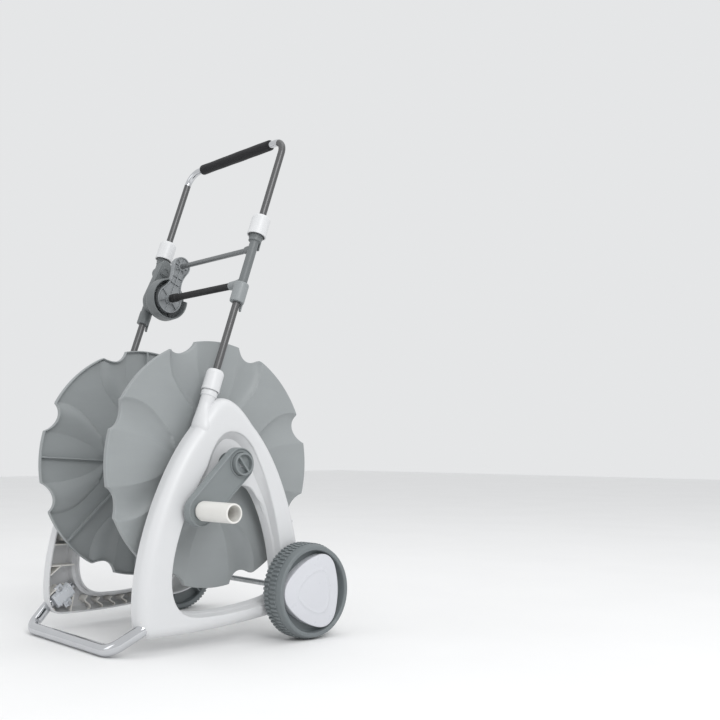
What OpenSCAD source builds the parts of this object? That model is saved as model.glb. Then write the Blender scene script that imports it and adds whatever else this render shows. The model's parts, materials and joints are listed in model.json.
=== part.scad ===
// Garden hose reel cart: two open-backed plastic side frames, a hose drum turned
// by a crank, two wheels on an axle, a foot bar and a telescopic push handle that
// carries a sliding hose guide.
// +Z is up, +X is the crank side, -Y is the front (foot bar), +Y the back (wheels).
// The origin is on the ground, under the middle of the cart's overall box.

/* [Drum] */
// Height of the drum's axis above the ground
drum_z = 298; // [290:1:310]
// Radius of the scalloped flanges
flange_r = 210; // [200:1:214]
// Distance of each flange's outer face from the drum's middle
flange_x = 117; // [114:1:117]
// Radius of the barrel that the hose winds on
barrel_r = 70; // [60:1:76]
// Angle by which the drum is turned at rest
drum_turn = -3; // [-10:1:10]

/* [Side frames] */
// Distance of each frame's open back from the drum's middle
frame_in = 139; // [138:1:140]
// Distance of each frame's outer face from the drum's middle
frame_out = 172; // [170:1:174]
// Wall thickness of the frame mouldings
wall = 3; // [2.5:0.5:3.5]

/* [Wheels] */
// Radius of each wheel
wheel_r = 81; // [78:1:84]
// Distance of the axle behind the drum's axis
axle_y = 139; // [136:1:142]
// Width of each wheel
wheel_w = 44; // [40:1:46]
// Radius of the axle rod
axle_r = 5; // [4:0.5:5]

/* [Handle] */
// Lean of the handle towards the back
lean = 19.9; // [18:0.1:21]
// Radius of the handle tube
tube_r = 6.35; // [6.2:0.05:6.4]
// Distance of the handle's tubes from the drum's middle
tube_x = 147; // [146.5:0.5:147.5]
// Length of the handle from the lower lock to its top bar
handle_len = 473; // [440:1:500]

/* [Foot bar] */
// Radius of the foot bar's tube
foot_r = 10; // [9:0.5:10]
// Distance of the foot bar in front of the drum's axis
foot_y = 211; // [208:1:216]

/* [Crank] */
// Distance between the crank's axis and its grip
crank_len = 108; // [105:1:115]
// Direction of the crank at rest, from the back over the top
crank_turn = 223; // [180:1:270]

/* [Hidden] */
$fn = 64;
drum_mid_x = -27.5;          // the drum's middle, so that the box is centred on X = 0
run = 0.06;                  // radial clearance of a running fit
gap = 0.5;                   // gap between faces that pass each other

collar_y = -22.4;            // middle of the lower lock on the handle's axis
collar_z = 437.3;
tube_wall = 1.2;
handle_travel = 60;          // how far the handle slides down into the frames
plug_r = 7.2;                // plugs in the ends of the handle tube
socket_bottom = -92;         // lower end of the sockets that the handle slides in
tube_end = socket_bottom - 0.5;
bend_r = 28;                 // bend radius of the handle
guide_y = 45.7;              // axis of the guide roller
guide_z = 609.7;
bail_len = 71.2;             // guide roller to bail rod
bail_lean = 23;
wheel_in = 178;
wheel_out = wheel_in + wheel_w;
crank_back = 180;            // back face of the crank arm
crank_thick = 16;
crank_face = crank_back + crank_thick;
grip_end = 279.5;
grip_r = 16;
foot_tilt = 34.9;            // slope of the foot bar's plane
foot_bend_x = 134.6;         // front corner of the foot bar
foot_tail_x = 158;           // foot bar inside the frame
foot_depth = 54.6;           // front bar to the frame's corner, in the bar's plane
foot_bend_r = 30;
journal_r = 16;              // drum journals in the frames' bushes
bush_r = 19;
notch_count = 8;
notch_r = 34;
notch_depth = 14;
notch_pair = 19.9;           // each pair of notches sits this far either side of a quarter turn

white = [0.90, 0.91, 0.92];
grey = [0.62, 0.65, 0.65];
dark_grey = [0.42, 0.45, 0.45];
steel = [0.60, 0.62, 0.63];
chrome = [0.78, 0.79, 0.80];
graphite = [0.36, 0.36, 0.37];
black = [0.16, 0.16, 0.17];
clear_white = [0.85, 0.87, 0.92];

// ---- outlines and helpers ----

// Point at t on the curve with the four control points p
function curve_point(p, t) = pow(1 - t, 3) * p[0] + 3 * pow(1 - t, 2) * t * p[1]
    + 3 * (1 - t) * t * t * p[2] + t * t * t * p[3];

// Points along a closed chain of curves, steps per curve
function chain(curves, steps) =
    [for (c = curves) for (i = [0:steps - 1]) curve_point(c, i / steps)];

// The closed outline moved inwards by d (outlines run anticlockwise)
function inset(pts, d) = let (n = len(pts)) [for (i = [0:n - 1])
    let (a = pts[(i + n - 1) % n], b = pts[(i + 1) % n], t = (b - a) / norm(b - a))
    pts[i] + d * [-t[1], t[0]]];

// Outer outline of a side frame in Y and Z, anticlockwise from the front corner
frame_curves = [
    [[-146, 26], [-60, 24], [20, 30], [100, 40]],
    [[100, 40], [138, 44], [164, 58], [161, 85]],
    [[161, 85], [150, 190], [118, 300], [50, 366]],
    [[50, 366], [28, 394], [8, 409], [-12, 408]],
    [[-12, 408], [-32, 407], [-46, 388], [-66, 356]],
    [[-66, 356], [-128, 290], [-176, 160], [-176, 76]],
    [[-176, 76], [-176, 40], [-170, 27], [-146, 26]]];

// The triangular opening under the hub, at the frame's open back
opening_curves = [
    [[-60, 58], [-10, 56], [50, 62], [85, 70]],
    [[85, 70], [98, 73], [104, 85], [103, 105]],
    [[103, 105], [102, 160], [80, 222], [56, 252]],
    [[56, 252], [46, 262], [30, 262], [0, 262]],
    [[0, 262], [-40, 262], [-50, 266], [-64, 246]],
    [[-64, 246], [-92, 206], [-113, 165], [-113, 115]],
    [[-113, 115], [-113, 75], [-95, 59], [-60, 58]]];

// The pocket in the outer face, which carries the opening on round the hub
pocket_curves = [
    [[-60, 52], [-10, 50], [50, 56], [88, 64]],
    [[88, 64], [104, 68], [110, 85], [109, 105]],
    [[109, 105], [108, 165], [86, 250], [55, 306]],
    [[55, 306], [40, 338], [20, 351], [0, 351]],
    [[0, 351], [-22, 351], [-38, 330], [-50, 294]],
    [[-50, 294], [-88, 236], [-119, 165], [-119, 115]],
    [[-119, 115], [-119, 70], [-98, 53], [-60, 52]]];

frame_outline = chain(frame_curves, 10);
opening_outline = chain(opening_curves, 8);
pocket_outline = chain(pocket_curves, 8);

// Everything on the cart is placed from the drum's middle
module cart() {
    translate([drum_mid_x, 0, 0]) children();
}

// Copies on both sides of the cart
module both_sides() {
    for (side = [0, 1]) mirror([side, 0, 0]) children();
}

// A flat shape drawn in Y and Z, from x0 outwards
module slab(x0, depth) {
    translate([x0, 0, 0]) rotate([90, 0, 90]) linear_extrude(depth) children();
}

// A round bar along X at a place in Y and Z
module bar(x0, x1, r, y = 0, z = 0, r2 = 0) {
    translate([x0, y, z]) rotate([0, 90, 0])
        cylinder(h = x1 - x0, r1 = r, r2 = r2 == 0 ? r : r2);
}

// A ring along X
module ring(x0, x1, r, hole, y = 0, z = 0) {
    difference() {
        bar(x0, x1, r, y, z);
        bar(x0 - 1, x1 + 1, hole, y, z);
    }
}

// Places children on the right handle tube, s along its axis
module on_tube(s) {
    translate([tube_x, collar_y, collar_z]) rotate([-lean, 0, 0])
        translate([0, 0, s]) children();
}

// Places children on the foot bar's plane, y along its slope
module on_foot(x, y) {
    translate([0, -foot_y, foot_r]) rotate([foot_tilt, 0, 0])
        translate([x, y, 0]) children();
}

// Places children on the drum's axis, turned with it
module on_drum(turn = 0) {
    translate([0, 0, drum_z]) rotate([drum_turn + turn, 0, 0]) children();
}

// Places children on the crank's axis, with +Y along the arm
module on_crank(along = 0) {
    translate([0, 0, drum_z]) rotate([crank_turn, 0, 0])
        translate([0, along, 0]) children();
}

// ---- side frames ----

// Places children on the circle of the inlet's screws
module on_hub(turn) {
    translate([0, 0, drum_z]) rotate([turn, 0, 0]) translate([0, hub_screw_r, 0])
        children();
}

// Places children on one of the two screws of a foot clamp
module on_foot_screw(side) {
    on_foot(0, foot_screw_along) translate([0, 0, side * foot_screw_side]) children();
}

foot_screw_side = 17;        // foot clamp screws, off the foot bar's axis
foot_screw_along = 84;
foot_clamp_len = 40;
foot_clamp_w = 26;
foot_ear_len = 16;           // the clamp's ears that the screws go through
foot_ear_w = 44;
foot_post_end = 148.2;       // inner ends of the posts that the foot clamps rest on
hub_floor = 158;             // outer face of the hub plate in the pocket
hub_plate = 3;
hub_boss_in = 121;           // inner end of the hub boss
hub_screw_r = 28;            // circle of the three screws that hold the inlet
neck_r = 12.4;               // neck that the lower lock screws on

module frame_skin() {
    slab(frame_out - wall, wall) difference() {
        polygon(frame_outline);
        polygon(pocket_outline);
    }
}

module frame_walls() {
    slab(frame_in, frame_out - frame_in - 1) difference() {
        polygon(frame_outline);
        polygon(inset(frame_outline, wall));
    }
    slab(frame_in, frame_out - frame_in) difference() {
        polygon(inset(pocket_outline, -wall));
        polygon(pocket_outline);
    }
    // ledge between the pocket and the smaller opening behind it
    slab(frame_in, wall) difference() {
        polygon(inset(pocket_outline, -1));
        polygon(opening_outline);
    }
}

// Ribs across the legs and the bottom beam, and a web round the hub
module frame_ribs() {
    slab(frame_in + 8, frame_out - frame_in - 9) intersection() {
        difference() {
            polygon(inset(frame_outline, 1));
            polygon(inset(pocket_outline, -1));
        }
        union() {
            for (z = [120, 170, 220, 270, 320])
                translate([-200, z]) square([400, 2.4]);
            for (y = [-90, -50, -10, 30, 70, 110])
                translate([y, 20]) square([2.4, 60]);
        }
    }
}

module hub_plate_shape() {
    intersection() {
        polygon(inset(pocket_outline, -1));
        translate([-150, 259]) square([300, 150]);
    }
}

module frame_side() {
    difference() {
        union() {
            frame_skin();
            frame_walls();
            frame_ribs();
            slab(hub_floor - hub_plate, hub_plate) hub_plate_shape();
            bar(hub_boss_in, hub_floor - 1, bush_r + 4, 0, drum_z);
            for (turn = [0:120:240]) on_hub(turn) bar(frame_in, hub_floor - 1, 4.5);
            bar(frame_in, frame_out - 1, axle_r + 8, axle_y, wheel_r);
            on_tube(socket_bottom) cylinder(h = -socket_bottom, r = neck_r);
            on_tube(-29.5) cylinder(h = 9, r = neck_r + 1.6);
            for (side = [-1, 1]) on_foot_screw(side)
                bar(foot_post_end, frame_out - 1, 5);
            for (along = [70, 84, 98])
                on_foot(foot_tail_x, along) translate([0, -1.5, -14]) cube([12, 3, 28]);
        }
        bar(hub_boss_in - 5, hub_floor + 5, bush_r, 0, drum_z);
        bar(frame_in - 5, frame_out + 5, axle_r, axle_y, wheel_r);
        on_tube(socket_bottom - 1) cylinder(h = 150, r = tube_r + run);
        on_tube(-8) cylinder(h = 20, r = 9.4);
        on_tube(tube_end - handle_travel - 5)
            cylinder(h = handle_travel + 5, r = plug_r + gap);
        on_foot(foot_tail_x - 2, foot_depth - 25) rotate([-90, 0, 0])
            cylinder(h = 33, r = foot_r + 2.5);
        on_foot(foot_tail_x, foot_depth) rotate([-90, 0, 0])
            cylinder(h = 70, r = foot_r + run);
        for (side = [-1, 1]) on_foot_screw(side) bar(foot_post_end - 1, 163, 1.8);
        for (turn = [0:120:240]) on_hub(turn) bar(frame_in + 5, 170, 1.8);
    }
}

module frame_right() color(white) cart() frame_side();

module frame_left() color(white) cart() mirror([1, 0, 0]) frame_side();

// Plain bearing bushes with a thrust collar, pressed into the hub bosses
module hub_bushes() color(dark_grey) cart() both_sides() {
    ring(hub_boss_in, hub_floor, bush_r, journal_r + run, 0, drum_z);
    ring(hub_boss_in - 2.5, hub_boss_in, bush_r + 4, journal_r + run, 0, drum_z);
}

// ---- foot bar ----

foot_splay = atan2(foot_depth, foot_tail_x - foot_bend_x);
foot_tail_bend_r = 25;
foot_front_cut = foot_bend_r * tan(foot_splay / 2);
foot_tail_cut = foot_tail_bend_r * tan((90 - foot_splay) / 2);
foot_arm_len = norm([foot_depth, foot_tail_x - foot_bend_x]) - foot_front_cut
    - foot_tail_cut;
foot_tail_len = 52;

// A bend in a round bar, turning about Z from the +X side
module elbow(r_bend, angle, r_tube) {
    rotate_extrude(angle = angle) translate([r_bend, 0]) circle(r = r_tube);
}

// The foot bar in its own plane; the elbows are a hair thicker than the straights
module foot_path() {
    lap = 0.3;
    thin = foot_r - 0.02;
    turn_x = foot_bend_x - foot_front_cut;
    translate([-turn_x - lap, 0, 0]) rotate([0, 90, 0])
        cylinder(h = 2 * turn_x + 2 * lap, r = thin);
    both_sides() {
        translate([turn_x, foot_bend_r, 0]) rotate([0, 0, -90])
            elbow(foot_bend_r, foot_splay, foot_r);
        translate([turn_x + foot_bend_r * sin(foot_splay),
                foot_bend_r * (1 - cos(foot_splay)), 0])
            rotate([0, 0, foot_splay - 90]) rotate([-90, 0, 0])
                translate([0, 0, -lap]) cylinder(h = foot_arm_len + 2 * lap, r = thin);
        translate([foot_tail_x - foot_tail_bend_r, foot_depth + foot_tail_cut, 0])
            rotate([0, 0, foot_splay - 90])
                elbow(foot_tail_bend_r, 90 - foot_splay, foot_r);
        translate([foot_tail_x, foot_depth + foot_tail_cut - lap, 0])
            rotate([-90, 0, 0]) cylinder(h = foot_tail_len + lap, r = thin);
    }
}

module foot_bar() color(chrome) cart() on_foot(0, 0) foot_path();

// Clear plastic saddles that hold the foot bar's tails in the frames
module foot_clamps() color(clear_white) cart() both_sides() difference() {
    on_foot(140.5, foot_screw_along) {
        translate([0, -foot_clamp_len / 2, -foot_clamp_w / 2])
            cube([14, foot_clamp_len, foot_clamp_w]);
        translate([0, -foot_ear_len / 2, -foot_ear_w / 2])
            cube([foot_post_end - 140.6, foot_ear_len, foot_ear_w]);
    }
    on_foot(foot_tail_x, 0) rotate([-90, 0, 0]) cylinder(h = 200, r = foot_r + run);
    for (side = [-1, 1]) on_foot_screw(side) {
        bar(100, 200, 1.8);
        bar(foot_post_end - 0.1, 200, 5.5);
    }
}

module foot_screws() color(steel) cart() both_sides() for (side = [-1, 1])
    on_foot_screw(side) {
        bar(137.5, 140.5, 3.6);
        bar(140, 160, 1.75);
    }

// ---- axle and wheels ----

axle_end = 212;              // half the axle's length
face_ring_r = 70;             // inner edge of the tyre's flat face
web_depth = 16;              // the wheel's web lies this far inside its face
web_thick = 14;
web_front = wheel_out - web_depth;
wheel_hub_r = 16;
window_count = 5;            // round windows in the web, behind the cap

module axle() color(steel) cart()
    bar(-axle_end, axle_end, axle_r, axle_y, wheel_r);

module axle_spacers() color(dark_grey) cart() both_sides()
    ring(frame_out, wheel_in - gap, axle_r + 4, axle_r, axle_y, wheel_r);

module axle_clips() color(steel) cart() both_sides()
    ring(web_front + gap, web_front + gap + 1.5, axle_r + 5, axle_r, axle_y, wheel_r);

// One-piece wheel: tyre band, dished web and hub tube
module wheel() {
    translate([0, axle_y, wheel_r]) rotate([0, 90, 0]) difference() {
        rotate_extrude() polygon([
            [axle_r + run, wheel_in], [wheel_hub_r, wheel_in],
            [wheel_hub_r, web_front - web_thick], [wheel_r - 11, web_front - web_thick],
            [wheel_r - 11, wheel_in + 3], [wheel_r - 4, wheel_in], [wheel_r, wheel_in + 4],
            [wheel_r, wheel_out - 5], [wheel_r - 5, wheel_out],
            [face_ring_r, wheel_out], [face_ring_r, web_front], [axle_r + run, web_front]]);
        for (i = [0:window_count - 1]) rotate([0, 0, i * 360 / window_count + 20])
            translate([40, 0, wheel_in + 10]) cylinder(h = 40, r = 9);
    }
}

module wheel_right() color(dark_grey) cart() wheel();

module wheel_left() color(dark_grey) cart() mirror([1, 0, 0]) wheel();

cap_width = 128;             // width of the rounded triangle across its curved sides
cap_corner_r = 66.5;         // the triangle's corners are cut to this radius
cap_proud = 2.5;             // how far the cap stands out of the wheel's face
cap_wall = 2.5;

// Rounded-triangle cap that covers the hub: a hollow lid with a skirt
module wheel_cap() {
    reach = cap_width / sqrt(3);
    corners = [for (a = [180, 60, -60]) reach * [cos(a), sin(a)]];
    module rounded_triangle(shrink) {
        intersection_for (c = corners) translate(c) circle(r = cap_width - shrink);
    }
    translate([0, axle_y, wheel_r]) difference() {
        slab(web_front, web_depth + cap_proud) intersection() {
            rounded_triangle(0);
            circle(r = cap_corner_r);
        }
        slab(web_front - 1, web_depth + cap_proud - cap_wall + 1) intersection() {
            rounded_triangle(cap_wall);
            circle(r = cap_corner_r - cap_wall);
        }
    }
}

module wheel_cap_right() color(white) cart() wheel_cap();

module wheel_cap_left() color(white) cart() mirror([1, 0, 0]) wheel_cap();

// ---- drum ----

fin_turns = [0, 45, 90, 180, 225, 270];
flange_t = 3;
flange_screw_r = 62.5;       // circle that the flange screws sit on
flange_screw_count = 4;

module flange_shape(shrink) {
    difference() {
        circle(r = flange_r - shrink);
        for (quarter = [0:notch_count / 2 - 1]) for (side = [-1, 1])
            rotate(quarter * 90 + side * notch_pair)
                translate([flange_r - notch_depth + notch_r, 0])
                    circle(r = notch_r + shrink);
    }
}

// Scalloped flange with a turned-in rim lip and fins on the hose side
module flange() {
    difference() {
        union() {
            on_drum() slab(flange_x - flange_t, flange_t) flange_shape(0);
            on_drum() slab(flange_x - 9, 9) difference() {
                flange_shape(0);
                flange_shape(2.5);
            }
            for (turn = fin_turns) on_drum(turn)
                translate([flange_x - flange_t - 6, barrel_r, -1.2])
                    cube([8, flange_r - barrel_r - 6, 2.4]);
            bar(flange_x - 1, hub_boss_in - 3.1, 26, 0, drum_z);
        }
        bar(0, 200, journal_r, 0, drum_z);
        for (i = [1:flange_screw_count]) on_drum(i * 90 + 22.5)
            translate([0, flange_screw_r, 0]) rotate([0, 90, 0])
                cylinder(h = 200, r = 2.1);
    }
}

module flange_right() color(grey) cart() flange();

module flange_left() color(grey) cart() mirror([1, 0, 0]) flange();

barrel_wall = 3;
connector_x = -76;           // the hose connector on the barrel
connector_turn = 161;
connector_nut = 8;
connector_neck = 9;
barb_len = 4.5;
barb_count = 3;

module barrel() color(dark_grey) cart() {
    end = flange_x - flange_t;
    difference() {
        ring(-end, end, barrel_r, barrel_r - barrel_wall, 0, drum_z);
        on_drum(connector_turn) translate([connector_x, 0, 0]) rotate([-90, 0, 0])
            cylinder(h = 100, r = 11);
    }
    both_sides() for (i = [1:flange_screw_count]) on_drum(i * 90 + 22.5)
        translate([end - 26, flange_screw_r, 0]) rotate([0, 90, 0]) difference() {
            cylinder(h = 26, r = 5.4);
            translate([0, 0, 6]) cylinder(h = 26, r = 2.1);
        }
}

module flange_screws() color(steel) cart() both_sides()
    for (i = [1:flange_screw_count]) on_drum(i * 90 + 22.5)
        translate([flange_x, flange_screw_r, 0]) rotate([0, 90, 0]) {
            cylinder(h = 2.6, r = 4.4);
            translate([0, 0, -20]) cylinder(h = 20.5, r = 2.05);
        }

// Hub journals: the left one is the water way, the right one drives the crank
journal_out = 168;
journal_flange_in = 106;

module journal_left() color(dark_grey) cart() mirror([1, 0, 0]) difference() {
    union() {
        bar(journal_flange_in, journal_out, journal_r, 0, drum_z);
        bar(journal_flange_in, flange_x - flange_t, 34, 0, drum_z);
    }
    bar(90, 180, 10, 0, drum_z);
}

drive_size = 16;

module journal_right() color(dark_grey) cart() difference() {
    union() {
        bar(journal_flange_in, journal_out, journal_r, 0, drum_z);
        bar(journal_flange_in, flange_x - flange_t, 34, 0, drum_z);
        on_crank() translate([journal_out - 1, -drive_size / 2, -drive_size / 2])
            cube([crank_face - 4 - journal_out, drive_size, drive_size]);
    }
    bar(150, 220, 2.5, 0, drum_z);
}

// Bent pipe from the left journal to the hose connector, inside the barrel
module feed_pipe() color(black) cart() difference() {
    union() {
        bar(-journal_flange_in, connector_x + 12, 13, 0, drum_z);
        on_drum(connector_turn) translate([connector_x, 0, 0]) rotate([-90, 0, 0])
            cylinder(h = barrel_r + 4, r = 10.5);
    }
    bar(-journal_flange_in - 5, connector_x + 4, 8, 0, drum_z);
    on_drum(connector_turn) translate([connector_x, 0, 0]) rotate([-90, 0, 0])
        cylinder(h = 100, r = 7);
}

// Hose connector: a nut on the barrel and a ribbed hose tail
module barrel_connector() color(white) cart() on_drum(connector_turn)
    translate([connector_x, 0, 0]) rotate([-90, 0, 0]) difference() {
        union() {
            translate([0, 0, barrel_r + 1]) cylinder(h = connector_nut, r = 15);
            translate([0, 0, barrel_r + 1 + connector_nut])
                cylinder(h = connector_neck, r1 = 12.5, r2 = 11);
            for (i = [0:barb_count - 1])
                translate([0, 0, barrel_r + 1 + connector_nut + connector_neck + barb_len * i])
                    cylinder(h = barb_len, r1 = 7.4, r2 = 6.2);
        }
        translate([0, 0, barrel_r - 1]) cylinder(h = 7, r = 10.5);
        translate([0, 0, barrel_r]) cylinder(h = 60, r = 4.5);
    }

// ---- water inlet on the left hub ----

spigot_r = 10 - run;
inlet_tip = 206;
nipple_r = 7.9;
nipple_len = 12;

seal_places = [122, 132];

// Fixed inlet: a spigot in the drum's journal, a skirted flange and a connector nipple
module inlet_swivel() color(dark_grey) cart() mirror([1, 0, 0]) difference() {
    union() {
        bar(116, journal_out + gap, spigot_r, 0, drum_z);
        bar(journal_out + gap, journal_out + 6, 24, 0, drum_z);
        ring(hub_floor, journal_out + 1, 24, 18, 0, drum_z);
        ring(hub_floor, hub_floor + 3, 34, 23, 0, drum_z);
        bar(journal_out + 5, inlet_tip - nipple_len - 4, 12, 0, drum_z);
        bar(inlet_tip - nipple_len - 5, inlet_tip - nipple_len, 9.5, 0, drum_z);
        bar(inlet_tip - nipple_len - 1, inlet_tip, nipple_r, 0, drum_z);
    }
    bar(100, 240, 5, 0, drum_z);
    for (x = seal_places) ring(x, x + 2.6, 20, 8, 0, drum_z);
    for (turn = [0:120:240]) on_hub(turn) bar(140, 180, 2);
}

module inlet_seals() color(black) cart() mirror([1, 0, 0]) for (x = seal_places)
    translate([x + 1.3, 0, drum_z]) rotate([0, 90, 0])
        rotate_extrude() translate([9, 0]) circle(r = 0.95);

module inlet_screws() color(steel) cart() mirror([1, 0, 0])
    for (turn = [0:120:240]) on_hub(turn) {
        bar(hub_floor - 14, hub_floor + 3.5, 1.75);
        bar(hub_floor + 3, hub_floor + 5.5, 3.8);
    }

// ---- crank ----

arm_hub_r = 27.5;
arm_tip_r = 26;
knob_r = 17.5;
knob_face = 205;
pin_r = 5;

module crank_arm() color(dark_grey) cart() difference() {
    union() {
        on_crank() slab(crank_back, crank_thick - 2) hull() {
            circle(r = arm_hub_r);
            translate([crank_len, 0]) circle(r = arm_tip_r);
        }
        on_crank() slab(crank_back, crank_thick) difference() {
            hull() {
                circle(r = arm_hub_r);
                translate([crank_len, 0]) circle(r = arm_tip_r);
            }
            hull() {
                circle(r = arm_hub_r - 2.5);
                translate([crank_len, 0]) circle(r = arm_tip_r - 2.5);
            }
        }
    }
    on_crank() translate([crank_back - 1, -drive_size / 2, -drive_size / 2])
        cube([crank_thick - 3, drive_size, drive_size]);
    bar(crank_back, crank_face + 10, 3.2, 0, drum_z);
    bar(crank_face - 2, crank_face + 10, 18, 0, drum_z);
    on_crank(crank_len) bar(crank_back - 5, crank_face + 5, pin_r);
}

// Slotted knob that locks the arm on its journal
module crank_knob() color(dark_grey) cart() difference() {
    bar(crank_face - 2, knob_face, knob_r, 0, drum_z);
    bar(knob_face - 4, knob_face + 1, knob_r - 3.5, 0, drum_z);
    bar(crank_face - 3, crank_face + 2.2, 6, 0, drum_z);
}

module crank_screw() color(steel) cart() {
    bar(160, crank_face - 2, 2.45, 0, drum_z);
    bar(crank_face - 2, crank_face + 2, 5.5, 0, drum_z);
}

module grip_pin() color(steel) cart() on_crank(crank_len) {
    bar(crank_back - 2, crank_face + 22, pin_r);
    bar(crank_face + 22, crank_face + 25, pin_r + 3);
    bar(crank_back - 4, crank_back, pin_r + 2.5);
}

// Hollow turning grip with a floor that runs on the pin
module crank_grip() color(white) cart() on_crank(crank_len) difference() {
    bar(crank_face + gap, grip_end, grip_r);
    bar(crank_face + 21.4, grip_end + 5, grip_r - 2.2);
    bar(crank_face - 5, grip_end, pin_r + run);
}

// ---- telescopic handle ----

module handle_path(r) {
    top = handle_len - bend_r;
    on_tube(tube_end) cylinder(h = top - tube_end, r = r);
    on_tube(top) translate([-bend_r, 0, 0]) rotate([90, 0, 0]) elbow(bend_r, 90, r);
    on_tube(handle_len) translate([-tube_x, 0, 0]) rotate([0, 90, 0])
        cylinder(h = tube_x - bend_r, r = r);
}

module handle_tube() color(graphite) cart() both_sides() difference() {
    handle_path(tube_r);
    on_tube(tube_end - 1)
        cylinder(h = handle_len - bend_r - tube_end, r = tube_r - tube_wall);
}

foam_half = 107;
foam_r = 10;

module foam_grip() color(black) cart() on_tube(handle_len) translate([-tube_x, 0, 0])
    ring(-foam_half, foam_half, foam_r, tube_r);

module tube_plugs() color(black) cart() both_sides() on_tube(tube_end) {
    translate([0, 0, -4]) cylinder(h = 4, r = plug_r);
    cylinder(h = 18, r = tube_r - tube_wall);
}

// Split wedge rings that the locks squeeze on to the tube
module collets(s) {
    on_tube(s) difference() {
        union() {
            cylinder(h = 8, r = 9.35);
            translate([0, 0, 8]) cylinder(h = 11, r1 = 9.35, r2 = 7.8);
        }
        translate([0, 0, -1]) cylinder(h = 30, r = tube_r + run);
        translate([6, -0.6, -1]) cube([6, 1.2, 30]);
    }
}

// A twist collar: round cap with a lip, over the neck below it
module collar(s, length, r, neck) {
    on_tube(s - length / 2) difference() {
        union() {
            cylinder(h = 3, r = r + 0.4);
            translate([0, 0, 3]) cylinder(h = length - 7, r = r);
            translate([0, 0, length - 4]) cylinder(h = 4, r1 = r, r2 = r - 3);
        }
        translate([0, 0, -1]) cylinder(h = length / 2 + 1.5, r = neck + run);
        translate([0, 0, -1]) cylinder(h = length - 4, r = 9.9);
        translate([0, 0, -1]) cylinder(h = length + 5, r = tube_r + 0.4);
    }
}

lower_collar_len = 37;
lower_collar_r = 15.5;

module lower_collets() color(black) cart() both_sides() collets(-8);

module lower_collar_right() color(white) cart()
    collar(0, lower_collar_len, lower_collar_r, neck_r);

module lower_collar_left() color(white) cart() mirror([1, 0, 0])
    collar(0, lower_collar_len, lower_collar_r, neck_r);

// ---- sliding hose guide ----

upper_s = 294;               // middle of the upper locks along the tube
upper_len = 38;
upper_r = 16.8;
upper_neck_r = 11.6;
guide_bottom = 137;
sleeve_r = 8;
housing_r = 10.5;
cup_r = 40;
cup_back = -112;
cup_rim = -83;
cup_floor = -103;
window_from = -5;            // gap in the cup's wall that the bail lever swings in
window_to = 92;
lever_back = -95;
lever_boss_back = -95.4;      // the lever's round end stands a little proud at the back
lever_face = -79;            // inner end of the lever's boss
lever_plate = 8;
roller_r = 6.2;
shaft_r = 3;
rod_r = 4.8;
bolt_s = 246;                // clamp bolt along the tube
bolt_x = -127;
cheek_back = -140;           // flat cheek between the housing's neck and its cup
cheek_thick = 10;
cheek_top = 258;

// Mirrors children to the left tube
module left_tube() mirror([1, 0, 0]) children();

module guide_housing() color(dark_grey) cart() difference() {
    union() {
        left_tube() on_tube(guide_bottom)
            cylinder(h = upper_s - guide_bottom, r = housing_r);
        left_tube() on_tube(upper_s - 30) cylinder(h = 30, r = upper_neck_r);
        left_tube() on_tube(guide_bottom - 2) cylinder(h = 26, r = 12);
        left_tube() on_tube(guide_bottom - 12) translate([-3, 7, 0]) cube([6, 4, 14]);
        bar(cup_back, cup_rim, cup_r, guide_y, guide_z);
        bar(-tube_x + 2, cup_back, 15, guide_y, guide_z, 36);
        left_tube() on_tube(bolt_s) rotate([0, -90, 0])
            cylinder(h = tube_x + bolt_x - 2, r = 12);
        slab(cheek_back, cheek_thick) hull() {
            translate([guide_y, guide_z]) circle(r = 32);
            translate([collar_y + cheek_top * sin(lean), collar_z + cheek_top * cos(lean)])
                circle(r = 12);
        }
    }
    bar(cup_floor, cup_rim + 5, cup_r - 3, guide_y, guide_z);
    translate([0, guide_y, guide_z]) slab(lever_back - 1.5, 20) polygon([
        [0, 0], 60 * [cos(window_from), sin(window_from)], [60, 60],
        60 * [cos(window_to), sin(window_to)]]);
    bar(-150, -60, shaft_r, guide_y, guide_z);
    left_tube() on_tube(guide_bottom - 20) cylinder(h = 240, r = tube_r + run);
    left_tube() on_tube(upper_s - 8) cylinder(h = 20, r = 9.4);
    left_tube() on_tube(bolt_s) rotate([0, -90, 0])
        translate([0, 0, 7]) cylinder(h = 40, r = 2.5);
}

module guide_sleeve() color(dark_grey) cart() difference() {
    union() {
        on_tube(182) cylinder(h = upper_s - 182, r = sleeve_r);
        on_tube(upper_s - 30) cylinder(h = 30, r = upper_neck_r);
        on_tube(upper_s - 38) translate([-3, 7, 0]) cube([6, 4, 12]);
    }
    on_tube(100) cylinder(h = 240, r = tube_r + run);
    on_tube(upper_s - 8) cylinder(h = 20, r = 9.4);
}

module guide_clamp() color(grey) cart() difference() {
    union() {
        on_tube(146) cylinder(h = 36, r = 13);
        on_tube(136) translate([-3, 8, 0]) cube([6, 4, 14]);
        bar(105, tube_x - 4, 7.5, guide_y, guide_z);
    }
    on_tube(100) cylinder(h = 240, r = tube_r + run);
    on_tube(182) cylinder(h = 20, r = sleeve_r);
    bar(95, tube_x - 8, shaft_r, guide_y, guide_z);
}

// Hexagon-headed clamp bolt on the housing's lug
module guide_bolts() color(steel) cart() left_tube() on_tube(bolt_s)
    rotate([0, -90, 0]) {
        translate([0, 0, tube_x + bolt_x - 2]) cylinder(h = 4, r = 8, $fn = 6);
        translate([0, 0, 8]) cylinder(h = tube_x + bolt_x - 10, r = 2.45);
    }

module guide_shaft() color(steel) cart()
    bar(-108, tube_x - 9, shaft_r, guide_y, guide_z);

module upper_collets() color(black) cart() both_sides() collets(upper_s - 8);

module upper_collar_right() color(white) cart()
    collar(upper_s, upper_len, upper_r, upper_neck_r);

module upper_collar_left() color(white) cart() left_tube()
    collar(upper_s, upper_len, upper_r, upper_neck_r);

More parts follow.
